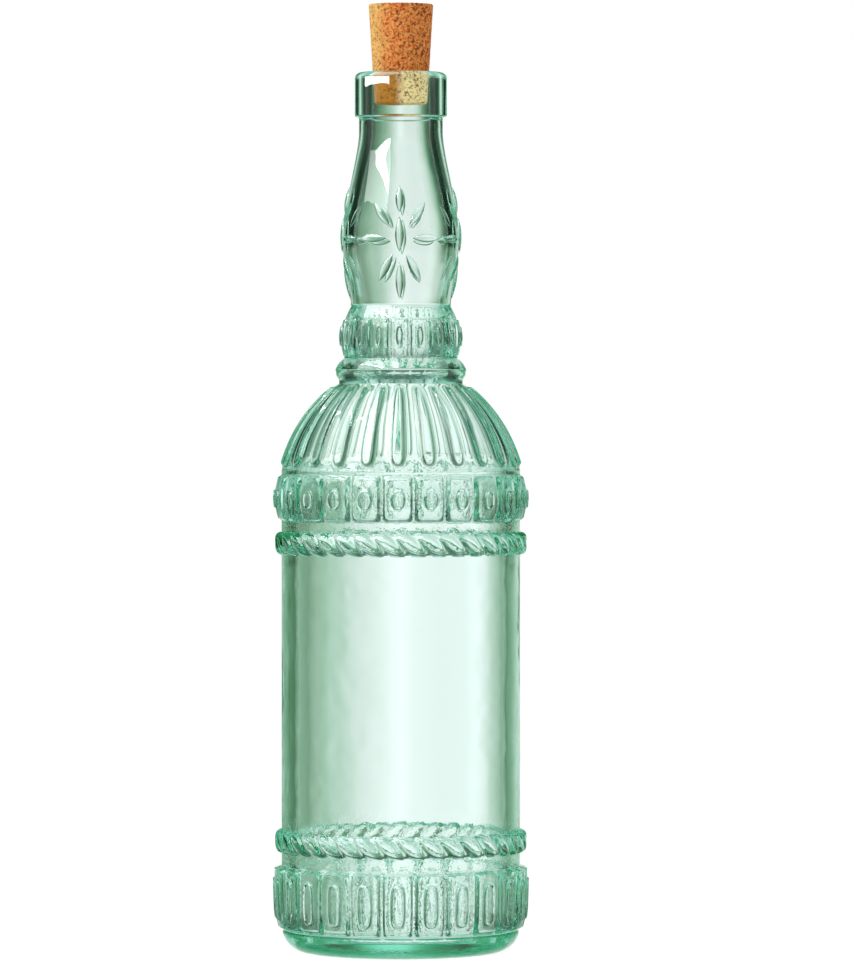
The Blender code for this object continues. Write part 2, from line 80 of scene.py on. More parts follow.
def arc_stations(start: Station, end: Station, bulge: float, steps: int) -> list[Station]:
    """Stations on an arc between two stations of a profile.

    Args:
        start: Radius and height where the arc begins.
        end: Radius and height where it ends.
        bulge: How far its middle stands to the right of the straight way.
        steps: How many straight steps it is cut into.

    Returns:
        The stations, both ends among them.
    """
    chord = math.dist(start, end)
    radius = chord * chord / (8.0 * abs(bulge)) + abs(bulge) / 2.0
    half_angle = math.asin(min(1.0, chord / 2.0 / radius))
    along = ((end[0] - start[0]) / chord, (end[1] - start[1]) / chord)
    middle = ((start[0] + end[0]) / 2.0, (start[1] + end[1]) / 2.0)
    drop = radius - abs(bulge)
    stations = []
    for step in range(steps + 1):
        angle = lerp(-half_angle, half_angle, step / steps)
        forward = radius * math.sin(angle)
        lift = math.copysign(1.0, bulge) * (radius * math.cos(angle) - drop)
        out = middle[0] + forward * along[0] + lift * along[1]
        stations.append((out, middle[1] + forward * along[1] - lift * along[0]))
    return stations


def upright_curve(start: Station, reaches: Span, end: Station, steps: int) -> list[Station]:
    """Stations on a smooth curve that leaves start and meets end parallel to the bottle's axis.

    Args:
        start: Radius and height where the curve begins.
        reaches: How strongly it holds its upright way at either end.
        end: Radius and height where the curve ends.
        steps: How many straight steps it is cut into.

    Returns:
        The stations, both ends among them.
    """
    upward = math.copysign(1.0, end[1] - start[1])
    leaving = (start[0], start[1] + upward * reaches[0])
    arriving = (end[0], end[1] - upward * reaches[1])
    controls = (start, leaving, arriving, end)
    stations = []
    for step in range(steps + 1):
        t = step / steps
        weights = ((1 - t) ** 3, 3 * t * (1 - t) ** 2, 3 * t * t * (1 - t), t**3)
        radius = sum(weight * control[0] for weight, control in zip(weights, controls))
        height = sum(weight * control[1] for weight, control in zip(weights, controls))
        stations.append((radius, height))
    return stations


def radius_at(height: float, profile: Sequence[Station]) -> float:
    """The radius of a rising profile at a height.

    Args:
        height: The height to look up.
        profile: Stations in the order of their heights.

    Returns:
        The radius, read off the straight step that holds the height.
    """
    for lower, upper in zip(profile, profile[1:]):
        if height <= upper[1]:
            return lerp(lower[0], upper[0], (height - lower[1]) / (upper[1] - lower[1]))
    return profile[-1][0]


def anywhere(point: Vector) -> bool:
    """Holds for every point."""
    return True


def at(height: float, across: float | None = None) -> Place:
    """A test for the points of a flat tile at a height and, if it is given, at a place across."""
    return lambda point: abs(point.z - height) < HAIR and (across is None or abs(point.x - across) < HAIR)


def beyond(reach: float, height: float) -> Place:
    """A test for the points at a height that are further than reach from a flat tile's middle line."""
    return lambda point: abs(point.z - height) < HAIR and abs(point.x) > reach


def clear_selection() -> None:
    """Leaves edit mode and deselects every object."""
    if bpy.context.object is not None and bpy.context.object.mode != "OBJECT":
        bpy.ops.object.mode_set(mode="OBJECT")
    bpy.ops.object.select_all(action="DESELECT")


def take(thing: Thing) -> None:
    """Makes one object the only selected and active one.

    Args:
        thing: The object.
    """
    clear_selection()
    thing.select_set(True)
    bpy.context.view_layer.objects.active = thing


def join(things: Sequence[Thing]) -> None:
    """Joins objects into the first of them, which stays the active one.

    Args:
        things: The objects, the first of them in front.
    """
    take(things[0])
    for thing in things:
        thing.select_set(True)
    bpy.ops.object.join()


def swing(angle: float) -> None:
    """Turns what is selected round the bottle's axis."""
    bpy.ops.transform.rotate(value=angle, orient_axis="Z", orient_type="GLOBAL", center_override=ORIGIN)


class Bench:
    """One mesh object held for shaping in edit mode, its elements selected by their place."""

    def __init__(self, name: str) -> None:
        """Takes the object that was just added or joined, names it, fixes its place and opens it.

        Args:
            name: The name for the object and its mesh.
        """
        self.thing = bpy.context.object
        self.thing.name = self.thing.data.name = name
        bpy.ops.object.transform_apply(location=True, rotation=True, scale=True)
        self.open()

    def open(self) -> None:
        """Opens the object in edit mode."""
        take(self.thing)
        bpy.ops.object.mode_set(mode="EDIT")

    def close(self) -> Thing:
        """Leaves edit mode and gives the object back."""
        bpy.ops.object.mode_set(mode="OBJECT")
        return self.thing

    def pick(self, kind: Pick, place: Place) -> bool:
        """Selects the elements that are in the right place, and nothing else.

        Args:
            kind: Whether points, edges or faces are selected.
            place: A test of a point, of both ends of an edge or of a face's middle.

        Returns:
            Whether there are any.
        """
        bpy.context.tool_settings.mesh_select_mode = tuple(kind.value == mode for mode in range(3))
        bpy.ops.mesh.select_all(action="DESELECT")
        cage = bmesh.from_edit_mesh(self.thing.data)
        if kind is Pick.POINTS:
            found = [point for point in cage.verts if place(point.co)]
        elif kind is Pick.EDGES:
            found = [edge for edge in cage.edges if all(place(end.co) for end in edge.verts)]
        else:
            found = [face for face in cage.faces if place(face.calc_center_median())]
        for element in found:
            element.select_set(True)
        cage.select_flush_mode()
        bmesh.update_edit_mesh(self.thing.data)
        return bool(found)

    def pick_rims(self) -> int:
        """Selects the points of every open rim.

        Returns:
            How many there are.
        """
        bpy.context.tool_settings.mesh_select_mode = (True, False, False)
        bpy.ops.mesh.select_all(action="DESELECT")
        others = dict.fromkeys(("use_wire", "use_multi_face", "use_non_contiguous", "use_verts"), False)
        bpy.ops.mesh.select_non_manifold(extend=False, use_boundary=True, **others)
        return sum(point.select for point in bmesh.from_edit_mesh(self.thing.data).verts)

    def nudge(self, place: Place, across: float = 0.0, depth: float = 0.0, height: float = 0.0) -> None:
        """Moves the points that are in the right place."""
        if self.pick(Pick.POINTS, place):
            bpy.ops.transform.translate(value=(across, depth, height))

    def crease_border(self, sharpness: float) -> None:
        """Gives the selected faces' border a crease for the subdivision to keep.

        Args:
            sharpness: How sharp the crease is.
        """
        bpy.ops.mesh.region_to_loop()
        bpy.ops.transform.edge_crease(value=sharpness)
        bpy.ops.mesh.loop_to_region()

    def face_out(self) -> None:
        """Turns the normals of all faces outwards."""
        self.pick(Pick.FACES, anywhere)
        bpy.ops.mesh.normals_make_consistent(inside=False)

    def apply(self, kind: str, **settings: object) -> None:
        """Adds a modifier with its settings and applies it.

        Args:
            kind: Blender's name for the modifier.
            **settings: The modifier's settings by their names.
        """
        take(self.thing)
        modifier = self.thing.modifiers.new(kind.lower(), kind)
        for setting, value in settings.items():
            setattr(modifier, setting, value)
        bpy.ops.object.modifier_apply(modifier=modifier.name)

    def soften(self, levels: int) -> Thing:
        """Subdivides the mesh smoothly, keeps the result and gives the object back."""
        self.apply("SUBSURF", levels=levels, render_levels=levels)
        return self.thing

    def roll_up(self, angle: float, radius: float) -> None:
        """Rolls the flat mesh round the bottle's axis.

        Args:
            angle: How far round it then reaches.
            radius: How far from the axis its flat face then is.
        """
        self.apply("SIMPLE_DEFORM", deform_method="BEND", deform_axis="Z", angle=angle)
        self.open()
        self.nudge(anywhere, depth=-radius)

    def repeat_round(self, count: int, radius: float) -> None:
        """Repeats a flat tile and rolls the strip into a closed ring.

        Args:
            count: How many tiles go round.
            radius: The radius that the flat strip's face takes.
        """
        offset = {"use_relative_offset": False, "use_constant_offset": True}
        offset["constant_offset_displace"] = (FULL_TURN * radius / count, 0.0, 0.0)
        self.apply("ARRAY", count=count, use_merge_vertices=True, merge_threshold=HAIR, **offset)
        self.roll_up(FULL_TURN, radius)
        bpy.ops.mesh.remove_doubles(threshold=2.0 * HAIR)


def turn(name: str, profile: Sequence[Station], sides: int) -> Bench:
    """Turns a profile round the bottle's axis, as on a lathe.

    Args:
        name: The name for the new object.
        profile: Radius and height of each station.
        sides: How many facets go round.

    Returns:
        The bench that holds the turned mesh, in edit mode.
    """
    clear_selection()
    bpy.ops.mesh.primitive_plane_add(size=HAIR, location=(0.0, -profile[0][0], profile[0][1]))
    bench = Bench(name)
    bench.pick(Pick.POINTS, anywhere)
    bpy.ops.mesh.merge(type="CENTER")
    for last, station in zip(profile, profile[1:]):
        step = (0.0, last[0] - station[0], station[1] - last[1])
        bpy.ops.mesh.extrude_vertices_move(TRANSFORM_OT_translate={"value": step})
    bpy.ops.mesh.select_all(action="SELECT")
    bpy.ops.mesh.spin(steps=sides, angle=FULL_TURN, center=ORIGIN, axis=(0.0, 0.0, 1.0))
    bench.pick(Pick.POINTS, anywhere)
    bpy.ops.mesh.remove_doubles(threshold=HAIR / 10.0)
    return bench


def lay_tile(name: str, columns: Sequence[float], rows: Sequence[Station]) -> Bench:
    """Lays one repeat of a moulded pattern flat: x runs round the wall, y into it and z up.

    Args:
        name: The name for the new object.
        columns: How far each column of points is from the tile's middle.
        rows: How deep in the wall, and how high, each row of points is.

    Returns:
        The bench that holds the tile, in edit mode.
    """
    clear_selection()
    column_steps, row_steps = len(columns) - 1, len(rows) - 1
    upright = {"location": (0.0, 0.0, PARKED), "rotation": (math.pi / 2.0, 0.0, 0.0)}
    bpy.ops.mesh.primitive_grid_add(
        x_subdivisions=column_steps, y_subdivisions=row_steps, size=1.0, **upright
    )
    bench = Bench(name)
    for row, (depth, height) in enumerate(rows):
        start = PARKED - 0.5 + row / row_steps
        bench.nudge(at(start), depth=depth, height=height - start)
    for column, across in enumerate(columns):
        start = column / column_steps - 0.5
        bench.nudge(lambda point: abs(point.x - start) < HAIR, across=across - start)
    return bench


class Nodes:
    """The nodes of a material or of the room."""

    def __init__(self, owner: bpy.types.Material | bpy.types.World) -> None:
        """Turns the owner's nodes on and takes them."""
        owner.use_nodes = True
        self.tree = owner.node_tree

    def feed(self, node: bpy.types.Node, inputs: Mapping[str | int, Wire]) -> None:
        """Sets a node's inputs to numbers or colours, or links other nodes' outputs to them.

        Args:
            node: The node.
            inputs: What each input gets, by the input's name or number.
        """
        for name, value in inputs.items():
            if isinstance(value, Socket):
                self.tree.links.new(value, node.inputs[name])
            else:
                level = (*value, 1.0) if isinstance(value, tuple) else value
                node.inputs[name].default_value = level

    def fill(self, name: str, inputs: Mapping[str | int, Wire]) -> None:
        """Feeds the node that is there under a name."""
        self.feed(self.tree.nodes[name], inputs)

    def add(self, kind: str, inputs: Mapping[str | int, Wire], **settings: str) -> bpy.types.NodeOutputs:
        """Adds a node.

        Args:
            kind: What follows ShaderNode in Blender's name for its kind.
            inputs: What each input gets, by the input's name or number.
            **settings: The node's settings by their names.

        Returns:
            The node's outputs.
        """
        node = self.tree.nodes.new("ShaderNode" + kind)
        for setting, value in settings.items():
            setattr(node, setting, value)
        self.feed(node, inputs)
        return node.outputs

    def maths(self, operation: str, *values: Wire) -> Socket:
        """Adds a node that reckons with sockets or numbers, and gives its result."""
        return self.add("Math", dict(enumerate(values)), operation=operation)[0]

    def spread(self, value: Wire, start: float, end: float, low: float = 0.0, high: float = 1.0) -> Socket:
        """Adds a node that turns the span from start to end softly into the span from low to high."""
        spans = {"Value": value, "From Min": start, "From Max": end, "To Min": low, "To Max": high}
        return self.add("MapRange", spans, interpolation_type="SMOOTHSTEP")["Result"]

    def blend(self, share: Wire, first: Wire, second: Wire, mode: str = "MIX") -> Socket:
        """Adds a node that blends a share of the second colour into the first."""
        colours = {"Factor": share, "A": first, "B": second}
        return self.add("Mix", colours, data_type="RGBA", blend_type=mode)["Result"]

    def noise(self, place: Socket, size: float, detail: float = 2.0) -> Socket:
        """Adds a noise whose swells are of a given size, in metres."""
        return self.add("TexNoise", {"Scale": 1.0 / size, "Detail": detail, "Vector": place})["Fac"]

    def bump(self, height: Socket, distance: float, strength: float = 1.0) -> Socket:
        """Adds bumps that are as high as distance where height is 1, and gives the bent normal."""
        return self.add("Bump", {"Strength": strength, "Distance": distance, "Height": height})["Normal"]

    def ramp(self, share: Wire, stops: Sequence[tuple[float, Colour]]) -> Socket:
        """Adds a ramp of colours.

        Args:
            share: How far along the ramp the colour is taken.
            stops: Place and colour of each stop.

        Returns:
            The socket of the colour.
        """
        node = self.tree.nodes.new("ShaderNodeValToRGB")
        elements = node.color_ramp.elements
        while len(elements) < len(stops):
            elements.new(0.5)
        for element, (position, colour) in zip(elements, stops):
            element.position = position
            element.color = (*colour, 1.0)
        self.feed(node, {"Fac": share})
        return node.outputs["Color"]


@dataclass(frozen=True)
class Boss:
    """A raised seal in the middle of a tablet."""

    outline: tuple[Station, ...]  # half width and height of each row
    relief: float = 0.0005
    rim: float = 0.0006  # width of the raised edge
    dish: float = 0.0002  # depth of the middle under that edge
    crispness: float = 0.8
    tip: float = 0.0  # how much further the middle column reaches at both ends
    taper: float = 0.85  # width of the top as a share of the foot's
    inner_share: float = 0.6  # share of the half width within which the inner faces lie


@dataclass(frozen=True)
class TabletBand:
    """A ring of raised tablets, each with a boss, cut apart by gutters."""

    name: str
    radius: float  # at which the tile is laid out
    bottom: float
    top: float
    lower_edge: float  # radius of the wall under the band
    upper_edge: float  # radius of the wall over it
    face: float  # radius of the tablets' faces
    boss_bottom: float
    boss: Boss
    swell: float = 0.0  # how much further out the faces are at half height
    tuck_height: float = 0.0  # height under which they lean in
    tuck: float = 0.0  # how far they lean in at the bottom
    groove: float = 0.0013  # depth of the gutter between two tablets
    gutter: float = 0.0004  # half width of the gutter's floor
    bevel: float = 0.0008
    count: int = 24
    columns: int = 3  # of cage faces on each tablet
    crispness: float = 1.0
    levels: int = 2  # of subdivision

    def face_depth(self, height: float) -> float:
        """How deep the tablets' face lies in the flat tile; less than nothing stands proud of it.

        Args:
            height: The height at which it is measured.

        Returns:
            The depth.
        """
        share = (height - self.bottom) / (self.top - self.bottom)
        out = self.face - self.radius + self.swell * math.sin(math.pi * share)
        if height < self.tuck_height:
            out -= self.tuck * (self.tuck_height - height) / (self.tuck_height - self.bottom)
        return -out

    def rows(self) -> list[Station]:
        """Depth and height of the tile's rows: its edges, and the boss's outline between them."""
        heights = [self.bottom, *(self.boss_bottom + rise for _, rise in self.boss.outline), self.top]
        return [(self.face_depth(height), height) for height in heights]

    def shape_tile(self) -> Bench:
        """Shapes one tablet with its bevels, its half gutters and its boss.

        Returns:
            The bench that holds the flat tile, in edit mode.
        """
        width = FULL_TURN * self.radius / self.count
        pitch = width / self.columns
        columns = [(step - self.columns / 2.0) * pitch for step in range(self.columns + 1)]
        tile = lay_tile(self.name, columns, self.rows())
        self.shape_outline(tile, pitch / 2.0 if self.columns % 2 else pitch)
        tile.pick(Pick.FACES, anywhere)
        bpy.ops.mesh.inset(thickness=self.gutter, depth=0.0)
        bpy.ops.mesh.inset(thickness=self.bevel, depth=0.0)
        tile.crease_border(self.crispness)
        tile.pick(Pick.EDGES, lambda point: self.is_gutter_edge(point, width / 2.0))
        bpy.ops.transform.edge_crease(value=self.crispness)
        self.sink_edges(tile, width / 2.0)
        self.raise_boss(tile)
        return tile

    def shape_outline(self, tile: Bench, reach: float) -> None:
        """Draws the boss's outline with the columns beside the tile's middle.

        Args:
            tile: The tile.
            reach: How far these columns are from the middle before.
        """
        outline = [(half_width, self.boss_bottom + rise) for half_width, rise in self.boss.outline]
        for half_width, height in outline:
            for side in SIDES:
                tile.nudge(at(height, side * reach), across=side * (half_width - reach))
        if self.boss.tip:
            for (_, height), way in zip((outline[0], outline[-1]), SIDES):
                tile.nudge(at(height, 0.0), height=way * self.boss.tip)

    def is_gutter_edge(self, point: Vector, half: float) -> bool:
        """Whether a point of a tile of this half width is where a bevel meets the gutter's floor."""
        margins = (half - abs(point.x), point.z - self.bottom, self.top - point.z)
        return any(abs(margin - self.gutter) < 5.0 * HAIR for margin in margins)

    def sink_edges(self, tile: Bench, half: float) -> None:
        """Lowers the tile's border to the wall and to the floor of its gutters.

        Args:
            tile: The tile.
            half: Half the tile's width.
        """
        rows = self.rows()
        for (depth, height), wall in ((rows[0], self.lower_edge), (rows[-1], self.upper_edge)):
            sunk = self.radius - wall - depth
            tile.nudge(lambda point: abs(point.z - height) < self.gutter + HAIR, depth=sunk)
        reach = half - self.gutter - HAIR
        for _, height in rows[1:-1]:
            tile.nudge(beyond(reach, height), depth=self.groove)
        margin = self.gutter + self.bevel
        for (depth, height), target in ((rows[1], self.bottom + margin), (rows[-2], self.top - margin)):
            deeper = self.face_depth(target) - depth
            tile.nudge(beyond(reach, height), depth=deeper, height=target - height)

    def raise_boss(self, tile: Bench) -> None:
        """Raises the boss out of the faces inside its outline.

        Args:
            tile: The tile.
        """
        boss = self.boss
        lower, upper = self.boss_bottom, self.boss_bottom + boss.outline[-1][1]
        reach = max(half_width for half_width, _ in boss.outline) * boss.inner_share
        tile.pick(Pick.FACES, lambda point: abs(point.x) < reach and lower < point.z < upper)
        tile.crease_border(boss.crispness)
        bpy.ops.mesh.extrude_region_move(TRANSFORM_OT_translate={"value": (0.0, -boss.relief, 0.0)})
        narrower = (boss.taper, 1.0, 0.5 + boss.taper / 2.0)
        bpy.ops.transform.resize(value=narrower, center_override=(0.0, 0.0, (lower + upper) / 2.0))
        tile.crease_border(boss.crispness)
        bpy.ops.mesh.inset(thickness=boss.rim, depth=0.0)
        bpy.ops.transform.translate(value=(0.0, boss.dish, 0.0))

    def build(self) -> Thing:
        """Builds the whole ring of tablets.

        Returns:
            The ring's object.
        """
        ring = self.shape_tile()
        ring.repeat_round(self.count, self.radius)
        return ring.soften(self.levels)


@dataclass(frozen=True)
class Rope:
    """A ring like a twisted rope, of plump leaning strands with rounded ends."""

    name: str
    radius: float  # of the wall above and below
    bottom: float
    height: float = 0.0076
    relief: float = 0.0022  # of the strands
    core: float = 0.0014  # relief of the round core between them
    core_share: float = 0.85  # height of the core as a share of the ring's
    plumpness: float = 0.7  # the less, the rounder a strand's flanks
    lean: float = math.radians(8.75)  # how far round a strand's top is from its bottom
    count: int = 36
    columns: int = 8  # of faces on a strand
    rows: int = 12  # of faces on a strand

    def out(self, across: float, up: float) -> float:
        """How far the skin stands out at a place on a strand.

        Args:
            across: How far from the strand's crest the place is, as a share of its half width.
            up: How far over the strand's middle it is, as a share of its half height.

        Returns:
            The strand's or the core's relief, whichever is more.
        """
        strand = self.relief * math.sqrt(max(0.0, 1.0 - (across * across + up * up) ** 2))
        core = self.core * math.sqrt(max(0.0, 1.0 - (up / self.core_share) ** 2))
        return max(strand, core)

    def build(self) -> Thing:
        """Builds the whole ring of strands.

        Returns:
            The ring's object.
        """
        half = FULL_TURN * self.radius / self.count / 2.0
        steps = [2.0 * column / self.columns - 1.0 for column in range(self.columns + 1)]
        shares = [(1.0 - math.cos(math.pi * row / self.rows)) / 2.0 for row in range(self.rows + 1)]
        heights = [self.bottom + share * self.height for share in shares]
        rows = [(0.0, height) for height in heights]
        ring = lay_tile(self.name, [step * half for step in steps], rows)
        for height, share in list(zip(heights, shares))[1:-1]:
            for step in steps:
                wider = math.copysign(abs(step) ** self.plumpness, step)
                out = self.out(wider, 2.0 * share - 1.0)
                ring.nudge(at(height, step * half), across=(wider - step) * half, depth=-out)
        ring.repeat_round(self.count, self.radius)
        for height, share in zip(heights, shares):
            ring.pick(Pick.POINTS, at(height))
            swing(self.lean * share)
        return ring.close()


@dataclass(frozen=True)
class RibbedDome:
    """The dome between body and neck, with ribs that narrow on their way up."""

    foot: Station = (0.0394, 0.1589)  # radius and height of the lower edge
    root: Station = (0.0206, 0.1873)  # radius and height of the upper edge
    crown: float = 0.0033  # how far it swells over a cone
    shares: tuple[float, ...] = (0.0, 0.035, 0.12, 0.33, 0.56, 0.78, 0.95, 1.0)  # how far up each row is
    rib_widths: tuple[float, ...] = (0.0, 0.0014, 0.0024, 0.0023, 0.0022, 0.0021, 0.0012, 0.0)
    relief: float = 0.0009
    flank: float = 0.00065  # width of a rib's flank
    crispness: float = 0.4
    count: int = 24
    levels: int = 2  # of subdivision

    def build(self) -> Thing:
        """Builds the whole dome with its ribs.

        Returns:
            The dome's object.
        """
        radius = self.foot[0]
        pitch = FULL_TURN * radius / self.count / 3.0
        hundredths = arc_stations(self.foot, self.root, self.crown, 100)
        stations = [hundredths[round(share * 100)] for share in self.shares]
        rows = [(radius - out, height) for out, height in stations]
        dome = lay_tile("dome", [pitch * step for step in (-1.5, -0.5, 0.5, 1.5)], rows)
        for (_, height), half_width in list(zip(rows, self.rib_widths))[1:-1]:
            for side in SIDES:
                dome.nudge(at(height, side * pitch / 2.0), across=side * (half_width - pitch / 2.0))
        low, high = rows[1][1], rows[-2][1]
        dome.pick(Pick.FACES, lambda point: abs(point.x) < HAIR and low < point.z < high)
        bpy.ops.mesh.inset(thickness=self.flank, depth=self.relief)
        dome.crease_border(self.crispness)
        dome.repeat_round(self.count, radius)
        return dome.soften(self.levels)


@dataclass(frozen=True)
class Petal:
    """One raised petal of a star."""

    across: float  # of the star's upright line, round the wall
    up: float  # over the star's middle
    length: float
    lean: float  # of the upper end to the right, in radians


@dataclass(frozen=True)
class StarBarrel:
    """The swelling part of the neck with four stars of raised petals."""

    waist: Station = (0.0165, 0.2127)  # radius and height of the lower end
    belly: Station = (0.0192, 0.2353)  # radius and height where it is widest
    top: Station = (0.0138, 0.2705)  # radius and height where the neck begins
    waist_reach: float = 0.006  # how long the outline stays upright there
    belly_reach: float = 0.010
    neck_reach: float = 0.0075
    star_height: float = 0.2349
    star_count: int = 4
    petal_width: float = 0.0029
    petal_relief: float = 0.0008  # how far a petal stands out
    petal_sides: int = 14
    petal_steps: int = 12
    tilt_share: float = 0.7  # share of a petal over which the wall's tilt is taken
    sides: int = 144
    steps: int = 16  # of each of the outline's two curves

    def profile(self, wall: float, neck: float, steps: int) -> list[Station]:
        """Stations of the barrel, a wall's width inside its skin.

        Args:
            wall: How far inside the skin the profile runs.
            neck: Radius where the neck begins.
            steps: Steps of each of its two curves.

        Returns:
            The stations from the waist to the neck.
        """
        belly = (self.belly[0] - wall, self.belly[1])
        waist = (self.waist[0] - wall, self.waist[1])
        lower = upright_curve(waist, (self.waist_reach, self.belly_reach), belly, steps)
        neck_foot = (neck, self.top[1])
        upper = upright_curve(belly, (self.belly_reach, self.neck_reach), neck_foot, steps)
        return lower + upper[1:]

    def petals(self) -> list[Petal]:
        """The nine petals of a star: three upright ones, and three on either side.

        Returns:
            The petals.
        """
        upright = ((0.0013, 0.0116), (0.0129, 0.0090), (-0.0139, 0.0124))
        petals = [Petal(0.0, up, length, 0.0) for up, length in upright]
        for side in SIDES:
            petals.append(Petal(side * 0.0092, 0.0, 0.0098, math.pi / 2.0))
            petals.append(Petal(side * 0.0062, 0.0079, 0.0098, side * math.radians(36.0)))
            petals.append(Petal(side * 0.0049, -0.0096, 0.0104, -side * math.radians(31.0)))
        return petals

    def carve_petal(self, petal: Petal, profile: Sequence[Station]) -> Thing:
        """Makes one petal on the flat: a spindle pressed flat, leaned, and tilted as the wall is.

        Args:
            petal: The petal's place and size.
            profile: The barrel's stations.

        Returns:
            The petal's object.
        """
        half = petal.length / 2.0
        half_width = self.petal_width / 2.0
        spindle = arc_stations((0.0, -half), (0.0, half), half_width, self.petal_steps)
        bench = turn("petal", spindle, self.petal_sides)
        flatter = (1.0, self.petal_relief / half_width, 1.0)
        bpy.ops.transform.resize(value=flatter, center_override=ORIGIN)
        thing = bench.close()
        height = self.star_height + petal.up
        reach = half * self.tilt_share
        low, high = (radius_at(height + side * reach, profile) for side in SIDES)
        tilt = math.atan2(low - high, 2.0 * reach) * abs(math.cos(petal.lean))
        thing.rotation_mode = "YXZ"
        thing.rotation_euler = (-tilt, petal.lean, 0.0)
        thing.location = (petal.across, self.belly[0] - radius_at(height, profile), height)
        bpy.ops.object.transform_apply(location=True, rotation=True, scale=True)
        return thing

    def carve_stars(self, profile: Sequence[Station]) -> Thing:
        """Makes the front star, rolls it onto the barrel and repeats it round the axis.

        Args:
            profile: The barrel's stations.

        Returns:
            The object of all the stars.
        """
        join([self.carve_petal(petal, profile) for petal in self.petals()])
        stars = Bench("stars")
        across = [point.co.x for point in stars.close().data.vertices]
        stars.roll_up((max(across) - min(across)) / self.belly[0], self.belly[0])
        for _ in range(self.star_count - 1):
            bpy.ops.mesh.duplicate()
            swing(FULL_TURN / self.star_count)
        stars.face_out()
        return stars.close()

    def build(self) -> Thing:
        """Builds the barrel and unites it with its stars.

        Returns:
            The barrel's object.
        """
        profile = self.profile(0.0, self.top[0], self.steps)
        stars = self.carve_stars(profile)
        ends = (self.waist[1], self.top[1])
        barrel = turn("barrel", [(0.0, ends[0]), *profile, (0.0, ends[1])], self.sides)
        barrel.face_out()
        barrel.apply("BOOLEAN", operation="UNION", solver="EXACT", object=stars)
        bpy.data.objects.remove(stars)
        barrel.open()
        barrel.pick(Pick.FACES, lambda point: min(abs(point.z - end) for end in ends) < HAIR)
        bpy.ops.mesh.delete(type="FACE")
        return barrel.close()


@dataclass(frozen=True)
class Foot:
    """The push-up, the bearing ring and the smooth foot under the tablets."""

    bearing_radius: float = 0.0320  # of the ring that the bottle stands on
    bearing_width: float = 0.0026
    push_up: float = 0.004  # height of the underside's middle
    push_up_bulge: float = 0.0012
    edge: Station = (0.0391, 0.0065)  # radius and height where the foot meets the tablets
    rounding: float = 0.0016  # how far the foot's side swells
    shoulder: Station = (0.0388, 0.0072)  # radius and height of the step under the tablets
    sides: int = 288

    def build(self) -> Thing:
        """Builds the foot from the middle of the underside outwards.

        Returns:
            The foot's object.
        """
        inner = (self.bearing_radius - self.bearing_width, 0.0)
        profile = arc_stations((0.0, self.push_up), inner, -self.push_up_bulge, steps=4)
        profile += arc_stations((self.bearing_radius, 0.0), self.edge, self.rounding, steps=7)
        return turn("foot", [*profile, self.shoulder], self.sides).close()


@dataclass(frozen=True)
class Plain:
    """A plain stretch of wall between two bands."""

    name: str
    start: Station  # radius and height of the lower edge
    end: Station  # radius and height of the upper edge
    bulge: float = 0.0
    steps: int = 1  # rings of a swollen stretch
    hold: float = 0.0004  # rings this close to the edges keep a straight stretch's shading straight
    sides: int = 288

    def build(self) -> Thing:
        """Builds the stretch of wall.

        Returns:
            The wall's object.
        """
        low = (self.start[0], self.start[1] + self.hold)
        high = (self.end[0], self.end[1] - self.hold)
        profile = [self.start, low, high, self.end]
        if self.bulge:
            profile = arc_stations(self.start, self.end, self.bulge, self.steps)
        return turn(self.name, profile, self.sides).close()


@dataclass(frozen=True)
class Bead:
    """The pointed bead at the root of the neck, between two grooves."""

    lower: Station = (0.0204, 0.18745)  # where it leaves the dome
    groove: Station = (0.0205, 0.1889)
    undercut: float = 0.0001  # how much narrower the groove is lower down
    undercut_share: float = 0.6  # how far up the groove that is
    crest: Station = (0.0216, 0.1919)
    upper: Station = (0.0187, 0.1958)  # the groove over it
    land: float = 0.0003  # height of that groove's flat floor
    bulge: float = 0.0003  # of the flanks
    edge_rounding: float = 0.0006  # half height of the rounded edge, which is a third as deep
    sides: int = 144

    def build(self) -> Thing:
        """Builds the bead.

        Returns:
            The bead's object.
        """
        depth = self.edge_rounding / 3.0
        ends = (self.crest[1] + side * self.edge_rounding for side in SIDES)
        below, above = ((self.crest[0] - depth, height) for height in ends)
        narrow_height = lerp(self.lower[1], self.groove[1], self.undercut_share)
        profile = [self.lower, (self.groove[0] - self.undercut, narrow_height)]
        profile += arc_stations(self.groove, below, self.bulge, steps=4)
        profile += arc_stations(below, above, depth, steps=3)[1:]
        profile += arc_stations(above, self.upper, self.bulge, steps=4)[1:]
        profile.append((self.upper[0], self.upper[1] + self.land))
        return turn("bead", profile, self.sides).close()


